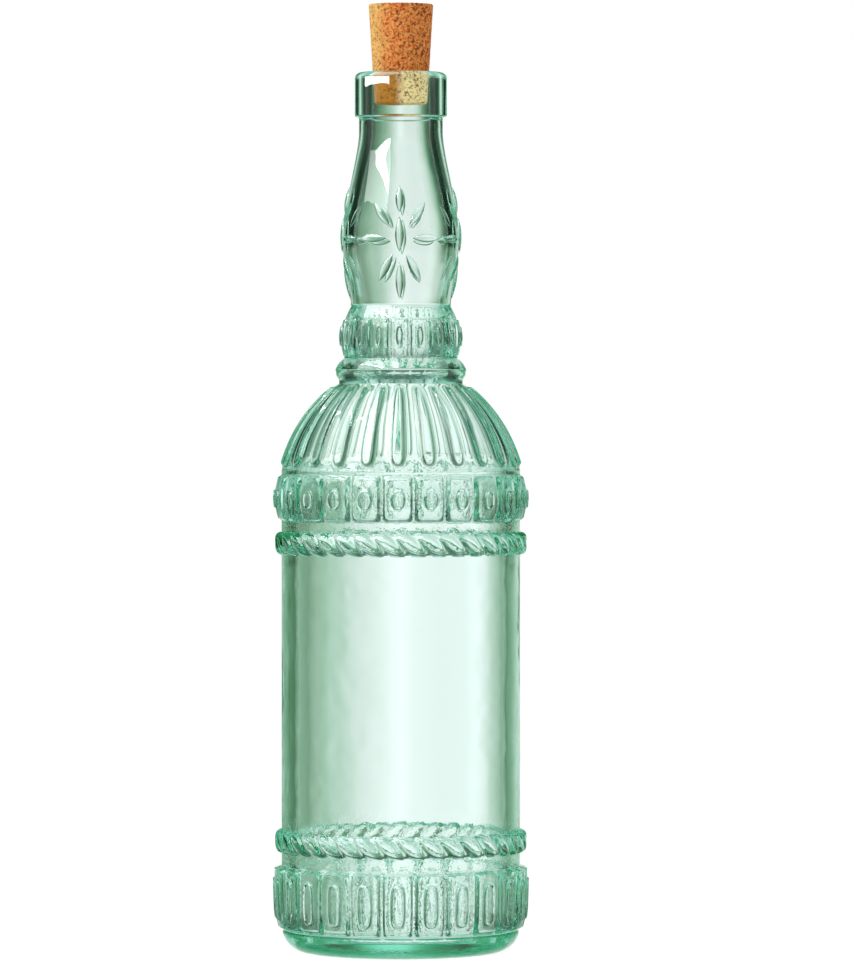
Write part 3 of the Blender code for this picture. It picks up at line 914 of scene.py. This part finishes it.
@dataclass(frozen=True)
class Bore:
    """The neck above the barrel, the collar with its rounded lip, and the whole hollow inside."""

    neck: Station = (0.0138, 0.2705)  # radius, and the height where it begins
    neck_fillet: float = 0.0003  # step between neck and collar
    collar: Station = (0.0152, 0.2751)  # radius, and the height of its lower edge
    collar_rounding: float = 0.0007
    lip: float = 0.2900  # height of the mouth
    lip_rounding: float = 0.0020
    bore_radius: float = 0.0098
    bore_rounding: float = 0.0009
    barrel_wall: float = 0.0035
    root: Station = (0.0165, 0.1873)  # inner radius and height under the neck band
    body_top: Station = (0.0346, 0.1589)  # inner radius, and the height where the dome begins
    dome_crown: float = 0.0033
    floor: float = 0.0058  # height of the inner floor's edge
    floor_crown: float = 0.0018  # how much higher its middle is
    floor_corner: float = 0.0045  # radius between floor and wall
    floor_bulge: float = 0.0003
    wall_rings: int = 3  # between the dome and the floor's corner
    sides: int = 144

    def outside(self) -> list[Station]:
        """Stations of the neck and the collar, from below to the lip's flat.

        Returns:
            The stations from the bottom up.
        """
        radius, bottom = self.collar
        step_end = (self.neck[0] + self.neck_fillet, bottom)
        foot = (radius, bottom + self.collar_rounding)
        head = (radius, self.lip - self.lip_rounding)
        profile = [self.neck, (self.neck[0], lerp(self.neck[1], bottom, 0.5))]
        profile.append((self.neck[0], bottom - self.neck_fillet))
        profile += arc_stations(step_end, foot, QUARTER_BULGE * self.collar_rounding, steps=4)
        profile.append((radius, lerp(foot[1], head[1], 0.5)))
        flat = (radius - self.lip_rounding, self.lip)
        return profile + arc_stations(head, flat, QUARTER_BULGE * self.lip_rounding, steps=6)

    def inside(self, barrel: StarBarrel) -> list[Station]:
        """Stations of the hollow, from the bore's edge down to the middle of the floor.

        Args:
            barrel: The barrel, whose inside the hollow follows.

        Returns:
            The stations from the top down.
        """
        rim = (self.bore_radius + self.bore_rounding, self.lip)
        bore_top = (self.bore_radius, self.lip - self.bore_rounding)
        profile = arc_stations(rim, bore_top, QUARTER_BULGE * self.bore_rounding, steps=4)
        profile.append((self.bore_radius, lerp(bore_top[1], self.neck[1], 0.5)))
        belly = barrel.profile(self.barrel_wall, self.bore_radius, steps=9)
        profile += reversed(belly)
        reaches = (barrel.waist_reach, barrel.waist_reach)
        profile += upright_curve(belly[0], reaches, self.root, steps=8)[1:]
        profile += arc_stations(self.root, self.body_top, -self.dome_crown, steps=9)[1:]
        radius, top = self.body_top
        corner = (radius, self.floor + self.floor_corner)
        for ring in range(1, self.wall_rings + 1):
            profile.append((radius, lerp(top, corner[1], ring / (self.wall_rings + 1))))
        edge = (radius - self.floor_corner, self.floor)
        profile += arc_stations(corner, edge, -QUARTER_BULGE * self.floor_corner, steps=8)
        middle = (0.0, self.floor + self.floor_crown)
        return profile + arc_stations(edge, middle, self.floor_bulge, steps=6)[1:]

    def build(self, barrel: StarBarrel) -> Thing:
        """Builds the neck, the collar and the hollow as one skin."""
        return turn("bore", self.outside() + self.inside(barrel), self.sides).close()


@dataclass(frozen=True)
class GlassFinish:
    """Pale green pressed glass, coloured by its thickness."""

    refraction: float = 1.5
    roughness: float = 0.0
    ripple: float = 0.35  # strength of the long ripples of the whole skin
    wrinkle: float = 0.10  # strength of the fine wrinkles behind the bands
    ripple_size: float = 0.018
    wrinkle_size: float = 0.0011
    bump_height: float = 0.0005  # of a ripple of strength 1
    inner_radius: float = 0.0352  # under this, the body's skin is the inner one
    plain: Span = (0.039, 0.142)  # heights between which it has no wrinkles
    fade: float = 0.010  # height over which the wrinkles fade away
    wrinkled_to: float = 0.164  # over this, the body has no wrinkles
    neck_inner_radius: float = 0.0163  # under this, the neck's skin is the inner one
    neck_wrinkles: Span = (0.186, 0.2125)  # heights between which the neck has them
    density: float = 30.0  # how strongly a metre of glass takes light
    tint: Colour = (0.36, 0.90, 0.76)  # what a thick piece lets through

    def material(self) -> bpy.types.Material:
        """Makes the glass material.

        Returns:
            The material.
        """
        glass = bpy.data.materials.new("pale_green_glass")
        nodes = Nodes(glass)
        place = nodes.add("TexCoord", {})["Object"]
        long = nodes.maths("MULTIPLY", nodes.noise(place, self.ripple_size), self.ripple)
        fine = nodes.maths("MULTIPLY", nodes.noise(place, self.wrinkle_size), self.wrinkle)
        fine = nodes.maths("MULTIPLY", fine, self.patterned(nodes, place))
        body = nodes.add("VolumeAbsorption", {"Color": self.tint, "Density": self.density})
        nodes.fill("Material Output", {"Volume": body["Volume"]})
        skin = {"Base Color": (1.0, 1.0, 1.0), "Transmission Weight": 1.0}
        skin |= {"IOR": self.refraction, "Roughness": self.roughness}
        skin["Normal"] = nodes.bump(nodes.maths("ADD", long, fine), self.bump_height)
        nodes.fill("Principled BSDF", skin)
        return glass

    def patterned(self, nodes: Nodes, place: Socket) -> Socket:
        """Adds the share of wrinkles: all on the inside behind the bands, none elsewhere.

        Args:
            nodes: The material's nodes.
            place: Where the coordinates come from.

        Returns:
            The socket of the share.
        """
        parts = nodes.add("SeparateXYZ", {"Vector": place})
        height = parts["Z"]
        flat = nodes.add("CombineXYZ", {"X": parts["X"], "Y": parts["Y"]})["Vector"]
        radius = nodes.add("VectorMath", {0: flat}, operation="LENGTH")["Value"]
        inside = nodes.maths("LESS_THAN", radius, self.inner_radius)
        body = nodes.maths("MULTIPLY", inside, nodes.maths("LESS_THAN", height, self.wrinkled_to))
        low = nodes.spread(height, self.plain[0] + self.fade, self.plain[0])
        high = nodes.spread(height, self.plain[1] - self.fade, self.plain[1])
        body = nodes.maths("MULTIPLY", body, nodes.maths("ADD", low, high))
        neck = nodes.maths("LESS_THAN", radius, self.neck_inner_radius)
        for end, way in zip(self.neck_wrinkles, SIDES):
            inwards = nodes.spread(height, end, end - way * self.fade / 3.0)
            neck = nodes.maths("MULTIPLY", neck, inwards)
        return nodes.maths("ADD", body, neck)


@dataclass(frozen=True)
class BottleGlass:
    """The whole bottle as one closed skin of glass."""

    finish: GlassFinish = GlassFinish()
    wall: float = 0.0394  # radius of the plain body
    lower_rope: float = 0.0328  # height of its lower edge
    upper_rope: float = 0.1310  # height of its lower edge
    weld: float = 1.6e-4  # how close two rims' points are that become one
    smooth: float = math.radians(50.0)  # angle between faces up to which the skin is smooth

    def lower_band(self) -> TabletBand:
        """The tall tablets over the foot, with long bosses.

        Returns:
            The band.
        """
        outline = ((0.0013, 0.0), (0.0023, 0.0019), (0.0023, 0.0125), (0.0013, 0.0144))
        edges = {"bottom": 0.0072, "top": 0.0288, "lower_edge": 0.0388, "upper_edge": self.wall}
        tuck = {"tuck_height": 0.0134, "tuck": 0.0016}
        boss = {"boss_bottom": 0.0104, "boss": Boss(outline)}
        return TabletBand("lower_band", self.wall, face=0.0418, **edges, **tuck, **boss)

    def upper_band(self) -> TabletBand:
        """The short tablets under the dome, with round bosses.

        Returns:
            The band.
        """
        outline = ((0.0015, 0.0), (0.0025, 0.0032), (0.0015, 0.0064))
        edges = {"bottom": 0.1420, "top": 0.1577, "lower_edge": self.wall, "upper_edge": self.wall}
        boss = {"boss_bottom": 0.1462, "boss": Boss(outline)}
        return TabletBand("upper_band", self.wall, face=0.0403, swell=0.0015, **edges, **boss)

    def neck_band(self) -> TabletBand:
        """The small tablets of the neck, with narrow bosses.

        Returns:
            The band.
        """
        outline = ((0.0007, 0.0), (0.0013, 0.0031), (0.0007, 0.0062))
        seal = Boss(outline, relief=0.0006, rim=0.0003, dish=0.0003, crispness=0.9, tip=0.0003)
        edges = {"bottom": 0.1961, "top": 0.2090, "lower_edge": 0.0187, "upper_edge": 0.0183}
        gutter = {"groove": 0.0008, "bevel": 0.0003}
        cage = {"count": 18, "columns": 4, "levels": 1}
        boss = {"boss_bottom": 0.1999, "boss": seal}
        return TabletBand("neck_band", 0.0189, face=0.0189, swell=0.0011, **edges, **gutter, **cage, **boss)

    def stretch(self, name: str, bottom: float, top: float) -> Thing:
        """Builds a straight stretch of the body's wall."""
        return Plain(name, (self.wall, bottom), (self.wall, top)).build()

    def parts(self) -> list[Thing]:
        """Builds every stretch of the skin, from the foot up and then the inside.

        Returns:
            The stretches' objects.
        """
        lower, upper, neck = self.lower_band(), self.upper_band(), self.neck_band()
        low_rope = Rope("lower_rope", self.wall, self.lower_rope)
        high_rope = Rope("upper_rope", self.wall, self.upper_rope)
        dome, barrel = RibbedDome(), StarBarrel()
        shoulder_foot = (neck.upper_edge, neck.top)
        return [
            Foot().build(),
            lower.build(),
            self.stretch("lower_gap", lower.top, low_rope.bottom),
            low_rope.build(),
            self.stretch("plain_wall", low_rope.bottom + low_rope.height, high_rope.bottom),
            high_rope.build(),
            self.stretch("upper_gap", high_rope.bottom + high_rope.height, upper.bottom),
            upper.build(),
            self.stretch("ledge", upper.top, dome.foot[1]),
            dome.build(),
            Bead().build(),
            neck.build(),
            Plain("neck_shoulder", shoulder_foot, barrel.waist, bulge=0.0001, steps=3, sides=144).build(),
            barrel.build(),
            Bore().build(barrel),
        ]

    def build(self) -> Thing:
        """Builds the glass, closes it and dresses it.

        Returns:
            The bottle's object.
        """
        parts = self.parts()
        for part in parts:
            LOG.info("%s: %d faces", part.name, len(part.data.polygons))
        join(parts)
        glass = Bench("bottle_glass_pressed")
        glass.pick_rims()
        bpy.ops.mesh.remove_doubles(threshold=self.weld)
        LOG.info("open rims: %d points", glass.pick_rims())
        bpy.ops.mesh.bridge_edge_loops()
        glass.face_out()
        LOG.info("open after bridging: %d points", glass.pick_rims())
        thing = glass.close()
        bpy.ops.object.shade_smooth_by_angle(angle=self.smooth)
        glass.apply("WEIGHTED_NORMAL", mode="FACE_AREA", weight=50, keep_sharp=True)
        thing.data.materials.clear()
        thing.data.materials.append(self.finish.material())
        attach(thing, "bottle")
        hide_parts("bottle_glass")
        return thing


@dataclass(frozen=True)
class CorkFinish:
    """Pressed granules of cork, with painted light on one side and a painted lighter and darker side inside
    the mouth.
    """

    pale: Colour = (0.86, 0.29, 0.07)  # the palest granules
    warm: Colour = (0.54, 0.105, 0.016)  # the common granules
    dark: Colour = (0.10, 0.012, 0.002)  # the bark between them
    painted_lit_side_and_pale_grain: Colour = (0.72, 0.42, 0.13)  # the palest fine granules everywhere, and painted light: the palest granules on the painted lit side
    painted_bark: Colour = (0.26, 0.11, 0.018)  # painted light: the bark on the painted lit side and inside the mouth
    painted_dark_side_in_mouth: Colour = (0.52, 0.23, 0.045)  # painted shade: the palest granules inside the mouth, on its darker side
    painted_lit_side_in_mouth: Colour = (1.0, 0.88, 0.52)  # painted light: the same on its lighter side
    coarse_size: float = 0.0013
    fine_size: float = 0.0005
    crack_size: float = 0.0012
    crumb_size: float = 0.0004  # of the skin's roughness
    crumb_height: float = 0.0002
    patch_size: float = 0.006  # of the patches in which the painted lit side and other cork meet
    patch_reach: float = 0.008  # how far they reach into each other
    mouth: float = 0.2895  # height of the bottle's mouth
    mouth_fade: float = 0.0008  # how far from there the colour changes to the painted lighter and darker look
    fine_share: float = 0.6  # how much of the look the fine granules are
    cracked: Span = (0.33, 0.46)  # noise between which a crack closes
    crack_tone: float = 0.2  # how much of the granules shows in a crack
    tones: Span = (0.02, 0.30)  # brightness between which bark turns into granule
    painted_lit_side_from: Span = (0.0005, -0.0045)  # places across between which the painted lit side sets in
    painted_lit_side_in_mouth_from: Span = (0.002, 0.006)  # the same for the painted lighter side inside the mouth
    detail: float = 3.0  # of the noises of cracks and crumbs
    crumb_strength: float = 0.8
    roughness: float = 0.85
    gloss: float = 0.08

    def grains(
        self, nodes: Nodes, place: Socket, size: float, stops: Sequence[tuple[float, Colour]]
    ) -> Socket:
        """Adds granules of one size, each of its own colour.

        Args:
            nodes: The material's nodes.
            place: Where the coordinates come from.
            size: A granule's size.
            stops: Place and colour of each stop of the ramp that the colours come from.

        Returns:
            The socket of the colour.
        """
        grain = nodes.add("TexVoronoi", {"Scale": 1.0 / size, "Vector": place})
        tone = nodes.add("SeparateColor", {"Color": grain["Color"]})
        return nodes.ramp(tone["Red"], stops)

    def material(self) -> bpy.types.Material:
        """Makes the cork material.

        Returns:
            The material.
        """
        cork = bpy.data.materials.new("pressed_cork")
        nodes = Nodes(cork)
        place = nodes.add("TexCoord", {})["Object"]
        coarse_stops = ((0.0, self.dark), (0.12, self.warm), (0.6, self.pale), (1.0, self.warm))
        fine_stops = ((0.0, self.dark), (0.10, self.dark), (0.22, self.warm), (1.0, self.painted_lit_side_and_pale_grain))
        coarse = self.grains(nodes, place, self.coarse_size, coarse_stops)
        fine = self.grains(nodes, place, self.fine_size, fine_stops)
        swells = nodes.noise(place, self.crack_size, self.detail)
        cracks = nodes.spread(swells, *self.cracked, self.crack_tone)
        granules = nodes.blend(cracks, self.dark, nodes.blend(self.fine_share, coarse, fine))
        tone = nodes.spread(nodes.add("RGBToBW", {"Color": granules})["Val"], *self.tones)
        parts = nodes.add("SeparateXYZ", {"Vector": place})
        blotches = nodes.noise(place, self.patch_size)
        patches = nodes.maths("MULTIPLY_ADD", blotches, self.patch_reach, parts["X"])
        # Painted light: on one side the granules and bark are recoloured paler, as if lit there.
        painted_lit_side_and_pale_grain = nodes.blend(tone, self.painted_bark, self.painted_lit_side_and_pale_grain)
        open_air = nodes.blend(nodes.spread(patches, *self.painted_lit_side_from), granules, painted_lit_side_and_pale_grain)
        # Painted light and shade: under the mouth, seen through the glass, the cork gets a painted lighter
        # side and darker side.
        painted_in_mouth = nodes.blend(nodes.spread(patches, *self.painted_lit_side_in_mouth_from), self.painted_dark_side_in_mouth, self.painted_lit_side_in_mouth)
        painted_in_mouth = nodes.blend(tone, self.painted_bark, painted_in_mouth)
        under = nodes.spread(parts["Z"], self.mouth + self.mouth_fade, self.mouth - self.mouth_fade)
        crumbs = nodes.noise(place, self.crumb_size, self.detail)
        skin = {"Roughness": self.roughness, "Specular IOR Level": self.gloss}
        skin["Base Color"] = nodes.blend(under, open_air, painted_in_mouth)
        skin["Normal"] = nodes.bump(crumbs, self.crumb_height, self.crumb_strength)
        nodes.fill("Principled BSDF", skin)
        return cork


@dataclass(frozen=True)
class CorkStopper:
    """The tapered cork."""

    bottom: float = 0.2794
    top: float = 0.3126
    tip_radius: float = 0.0089
    head_radius: float = 0.0108
    edge: float = 0.0007  # radius of the rounded edges
    flat: float = 0.9  # share of an end's radius that its even rings take up
    end_rings: int = 24
    rings: int = 150
    sides: int = 300
    pit_size: float = 0.0009  # width of the granules that stand in relief
    pit_depth: float = 0.00022  # of the cracks between them
    smooth: float = math.radians(60.0)  # angle between faces up to which the skin is smooth
    finish: CorkFinish = CorkFinish()

    def end(self, radius: float, height: float) -> list[Station]:
        """Stations of the tip or the head from its middle outwards."""
        steps = range(self.end_rings + 1)
        return [(radius * self.flat * step / self.end_rings, height) for step in steps]

    def profile(self) -> list[Station]:
        """Stations from the middle of the tip to the middle of the head.

        Returns:
            The stations from the bottom up.
        """
        low = (self.tip_radius, self.bottom + self.edge)
        high = (self.head_radius, self.top - self.edge)
        rounding = QUARTER_BULGE * self.edge
        stations = self.end(self.tip_radius, self.bottom)
        stations += arc_stations((self.tip_radius - self.edge, self.bottom), low, rounding, steps=4)
        for step in range(1, self.rings):
            share = step / self.rings
            stations.append((lerp(low[0], high[0], share), lerp(low[1], high[1], share)))
        stations += arc_stations(high, (self.head_radius - self.edge, self.top), rounding, steps=4)
        return stations + self.end(self.head_radius, self.top)[::-1]

    def build(self) -> Thing:
        """Turns the cork and dresses it.

        Returns:
            The cork's object.
        """
        bench = turn("cork_pressed", self.profile(), self.sides)
        bench.face_out()
        thing = bench.close()
        cracks = bpy.data.textures.new("cork_cracks", "VORONOI")
        cracks.noise_scale = self.pit_size
        cracks.weight_1, cracks.weight_2 = -1.0, 1.0
        bench.apply("DISPLACE", texture=cracks, strength=self.pit_depth, mid_level=1.0)
        bpy.ops.object.shade_smooth_by_angle(angle=self.smooth)
        thing.data.materials.append(self.finish.material())
        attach(thing, "cork")
        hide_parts("cork_stopper")
        return thing


@dataclass(frozen=True)
class Lamp:
    """One softbox."""

    name: str
    place: tuple[float, float, float]
    aim: float  # height of what it points at, on the bottle's axis
    size: Span  # width and height
    power: float  # in watts
    dull: bool = False  # whether it lights dull surfaces, instead of being mirrored by shiny ones

    def hang(self) -> None:
        """Hangs the softbox."""
        light = bpy.data.lights.new(self.name, "AREA")
        light.shape = "RECTANGLE"
        light.size, light.size_y = self.size
        light.energy = self.power
        lamp = bpy.data.objects.new(self.name, light)
        lamp.location = self.place
        facing = Vector((0.0, 0.0, self.aim)) - Vector(self.place)
        lamp.rotation_euler = facing.to_track_quat("-Z", "Y").to_euler()
        lamp.visible_diffuse, lamp.visible_glossy = self.dull, not self.dull
        lamp.visible_transmission = lamp.visible_camera = False
        bpy.context.scene.collection.objects.link(lamp)


@dataclass(frozen=True)
class Studio:
    """The pale floor, the room with darker cards at its corners, the softboxes and the camera.

    The room's light depends on a ray's way alone. All round, it repeats with every quarter turn. Where
    the ray's rise is near the level, the cards light the glass: low_window under the level and
    high_window over it. Steeper rays see the floor's, the deep floor's, the ceiling's or the zenith's
    colour, dimmed by outer_window."""

    camera_distance: float = 2.079  # from the bottle's axis
    camera_turn: float = math.radians(1.5)  # round to the right
    camera_height: float = 0.182
    aim_across: float = 0.0086  # to the right of the axis
    aim_height: float = 0.1546
    lens: float = 156.5  # focal length over this height of sensor
    sensor_height: float = 24.0
    # Each window's stops: the angle from the middle of a quarter in degrees, and the brightness.
    low_window: tuple[Station, ...] = (
        *((-45.0, 0.16), (-35.0, 0.22), (-27.0, 0.31), (-20.0, 0.35), (-15.0, 0.28), (-12.0, 0.41)),
        *((-10.0, 0.50), (-8.0, 0.60), (-6.0, 0.74), (-4.0, 0.94), (-2.0, 1.09), (5.0, 1.09), (7.0, 0.98)),
        *((10.0, 0.83), (15.0, 0.72), (20.0, 0.58), (30.0, 0.44), (38.0, 0.38), (45.0, 0.26)),
    )
    high_window: tuple[Station, ...] = (
        *((-45.0, 0.01), (-30.0, 0.02), (-24.0, 0.08), (-20.0, 0.20), (-13.0, 0.34), (-9.0, 0.50)),
        *((-6.0, 0.66), (-4.0, 0.84), (-2.5, 0.95), (5.0, 0.95), (8.0, 0.82), (10.0, 0.68)),
        *((13.0, 0.46), (16.0, 0.24), (20.0, 0.14), (27.0, 0.04), (34.0, 0.02), (45.0, 0.01)),
    )
    outer_window: tuple[Station, ...] = (
        *((-45.0, 0.55), (-30.0, 0.74), (-15.0, 0.91), (-6.0, 1.00)),
        *((8.0, 1.00), (17.0, 0.88), (30.0, 0.66), (45.0, 0.55)),
    )
    level: Span = (-0.02, 0.03)  # rises between which the high window takes over
    room_tint: Colour = (0.68, 0.0, 0.55)  # what the dark parts of the windows lack of each colour
    outer_tint: Colour = (1.1, 0.0, 0.45)
    band_bottom: Span = (-0.14, -0.078)  # rises between which the windows set in, from below
    band_top: Span = (0.34, 0.18)  # the same from above
    floor_colour: Colour = (1.06, 1.10, 1.08)  # light from the floor near by
    deep_colour: Colour = (0.80, 0.86, 0.83)  # light from straight under the bottle
    deep_from: Span = (-0.13, -0.30)  # rises between which it sets in
    ceiling_colour: Colour = (0.06, 0.14, 0.10)
    ceiling_from: Span = (-0.05, 0.25)  # rises between which it sets in
    zenith_colour: Colour = (0.80, 1.05, 1.0)
    zenith_from: Span = (0.40, 0.70)  # rises between which it sets in
    dull_colour: Colour = (0.80, 0.80, 0.80)  # light on dull surfaces in the open
    dull_glass_colour: Colour = (1.45, 1.15, 0.95)  # light on dull surfaces behind glass
    floor_paint: Colour = (0.95, 0.95, 0.95)
    floor_glow: float = 1.05  # strength of what only the camera sees
    floor_glow_share: float = 0.9  # how much of the floor's look that is

    def window(self, nodes: Nodes, share: Socket, levels: Sequence[Station], tint: Colour) -> Socket:
        """Adds the brightness of one quarter of the room.

        Args:
            nodes: The room's nodes.
            share: How far round the quarter a ray goes.
            levels: Angle from the quarter's middle in degrees, and brightness, of each stop.
            tint: How much of red, green and blue the dark parts lack.

        Returns:
            The socket of the colour.
        """
        stops = []
        for angle, level in levels:
            left = (1.0 - lack * max(0.0, 1.0 - level) for lack in tint)
            stops.append((angle / 90.0 + 0.5, tuple(level * part for part in left)))
        return nodes.ramp(share, stops)

    def set_camera(self) -> None:
        """Sets up the camera at the photograph's viewing angle."""
        right = Vector((math.cos(self.camera_turn), math.sin(self.camera_turn), 0.0))
        back = Vector((right.y, -right.x, 0.0))
        lens = bpy.data.cameras.new("camera")
        lens.sensor_fit = "VERTICAL"
        lens.sensor_height = self.sensor_height
        lens.lens = self.lens
        lens.clip_start, lens.clip_end = 0.05, 50.0
        camera = bpy.data.objects.new("camera", lens)
        camera.location = back * self.camera_distance + Vector((0.0, 0.0, self.camera_height))
        aim = right * self.aim_across + Vector((0.0, 0.0, self.aim_height))
        facing = aim - camera.location
        camera.rotation_euler = facing.to_track_quat("-Z", "Y").to_matrix().to_euler()
        bpy.context.scene.collection.objects.link(camera)
        bpy.context.scene.camera = camera

    def light_room(self) -> None:
        """Makes the room: white to the camera, windows and cards to the glass, even light to the cork."""
        world = bpy.data.worlds.new("studio")
        bpy.context.scene.world = world
        nodes = Nodes(world)
        parts = nodes.add("SeparateXYZ", {"Vector": nodes.add("TexCoord", {})["Generated"]})
        rise = parts["Z"]
        eighth = math.pi / 4.0
        angle = nodes.maths("ARCTAN2", parts["X"], parts["Y"])
        share = nodes.maths("WRAP", angle, eighth, -eighth)
        share = nodes.maths("MULTIPLY_ADD", share, 1.0 / (2.0 * eighth), 0.5)
        low = self.window(nodes, share, self.low_window, self.room_tint)
        high = self.window(nodes, share, self.high_window, self.room_tint)
        outer = self.window(nodes, share, self.outer_window, self.outer_tint)
        cards = nodes.blend(nodes.spread(rise, *self.level), low, high)
        around = self.floor_colour
        for span, colour in (
            (self.deep_from, self.deep_colour),
            (self.ceiling_from, self.ceiling_colour),
            (self.zenith_from, self.zenith_colour),
        ):
            around = nodes.blend(nodes.spread(rise, *span), around, colour)
        around = nodes.blend(1.0, around, outer, "MULTIPLY")
        near = nodes.spread(rise, *self.band_bottom)
        near = nodes.maths("MULTIPLY", near, nodes.spread(rise, *self.band_top))
        seen = nodes.blend(near, around, cards)
        path = nodes.add("LightPath", {})
        clear = nodes.maths("MAXIMUM", path["Is Glossy Ray"], path["Is Transmission Ray"])
        direct = nodes.maths("LESS_THAN", path["Diffuse Depth"], 0.5)
        dull = nodes.blend(path["Is Transmission Ray"], self.dull_colour, self.dull_glass_colour)
        room = nodes.blend(nodes.maths("MULTIPLY", clear, direct), dull, seen)
        shown = nodes.blend(path["Is Camera Ray"], room, (1.0, 1.0, 1.0))
        nodes.fill("Background", {"Color": shown})

    def lay_floor(self) -> None:
        """Lays the floor, white to the camera but for the object's soft shadow."""
        clear_selection()
        bpy.ops.mesh.primitive_plane_add(size=12.0, location=ORIGIN)
        floor = bpy.context.object
        floor.name = "floor"
        paint = bpy.data.materials.new("floor_white")
        nodes = Nodes(paint)
        path = nodes.add("LightPath", {})
        share = nodes.maths("MULTIPLY", path["Is Camera Ray"], self.floor_glow_share)
        matt = nodes.add("BsdfDiffuse", {"Color": self.floor_paint})["BSDF"]
        glow = nodes.add("Emission", {"Strength": self.floor_glow})["Emission"]
        both = nodes.add("MixShader", {"Fac": share, 1: matt, 2: glow})["Shader"]
        nodes.fill("Material Output", {"Surface": both})
        floor.data.materials.append(paint)
        floor.visible_transmission = floor.visible_glossy = False

    def build(self) -> None:
        """Sets up the whole studio."""
        self.set_camera()
        self.light_room()
        self.lay_floor()
        Lamp("key", (-1.25, -0.75, 0.60), aim=0.18, size=(0.6, 0.6), power=9.0, dull=True).hang()
        Lamp("strip_left", (-0.080, -0.046, 0.2938), aim=0.262, size=(0.1275, 0.0070), power=0.074).hang()
        Lamp("softbox_over", (-0.55, -0.35, 1.00), aim=0.20, size=(1.2, 1.2), power=28.0).hang()
        scene = bpy.context.scene
        scene.view_settings.view_transform = "Standard"
        scene.cycles.max_bounces = scene.cycles.transmission_bounces = 64
        scene.cycles.glossy_bounces = 48
        scene.cycles.transparent_max_bounces = 32


def report(thing: Thing) -> None:
    """Logs how many triangles a piece has."""
    thing.data.calc_loop_triangles()
    LOG.info("%s: %d triangles", thing.name, len(thing.data.loop_triangles))


def main() -> None:
    """Builds the bottle, the cork and the studio in order."""
    logging.basicConfig(level=logging.INFO, format="%(message)s")
    report(BottleGlass().build())
    report(CorkStopper().build())
    Studio().build()


if __name__ == "__main__":
    main()
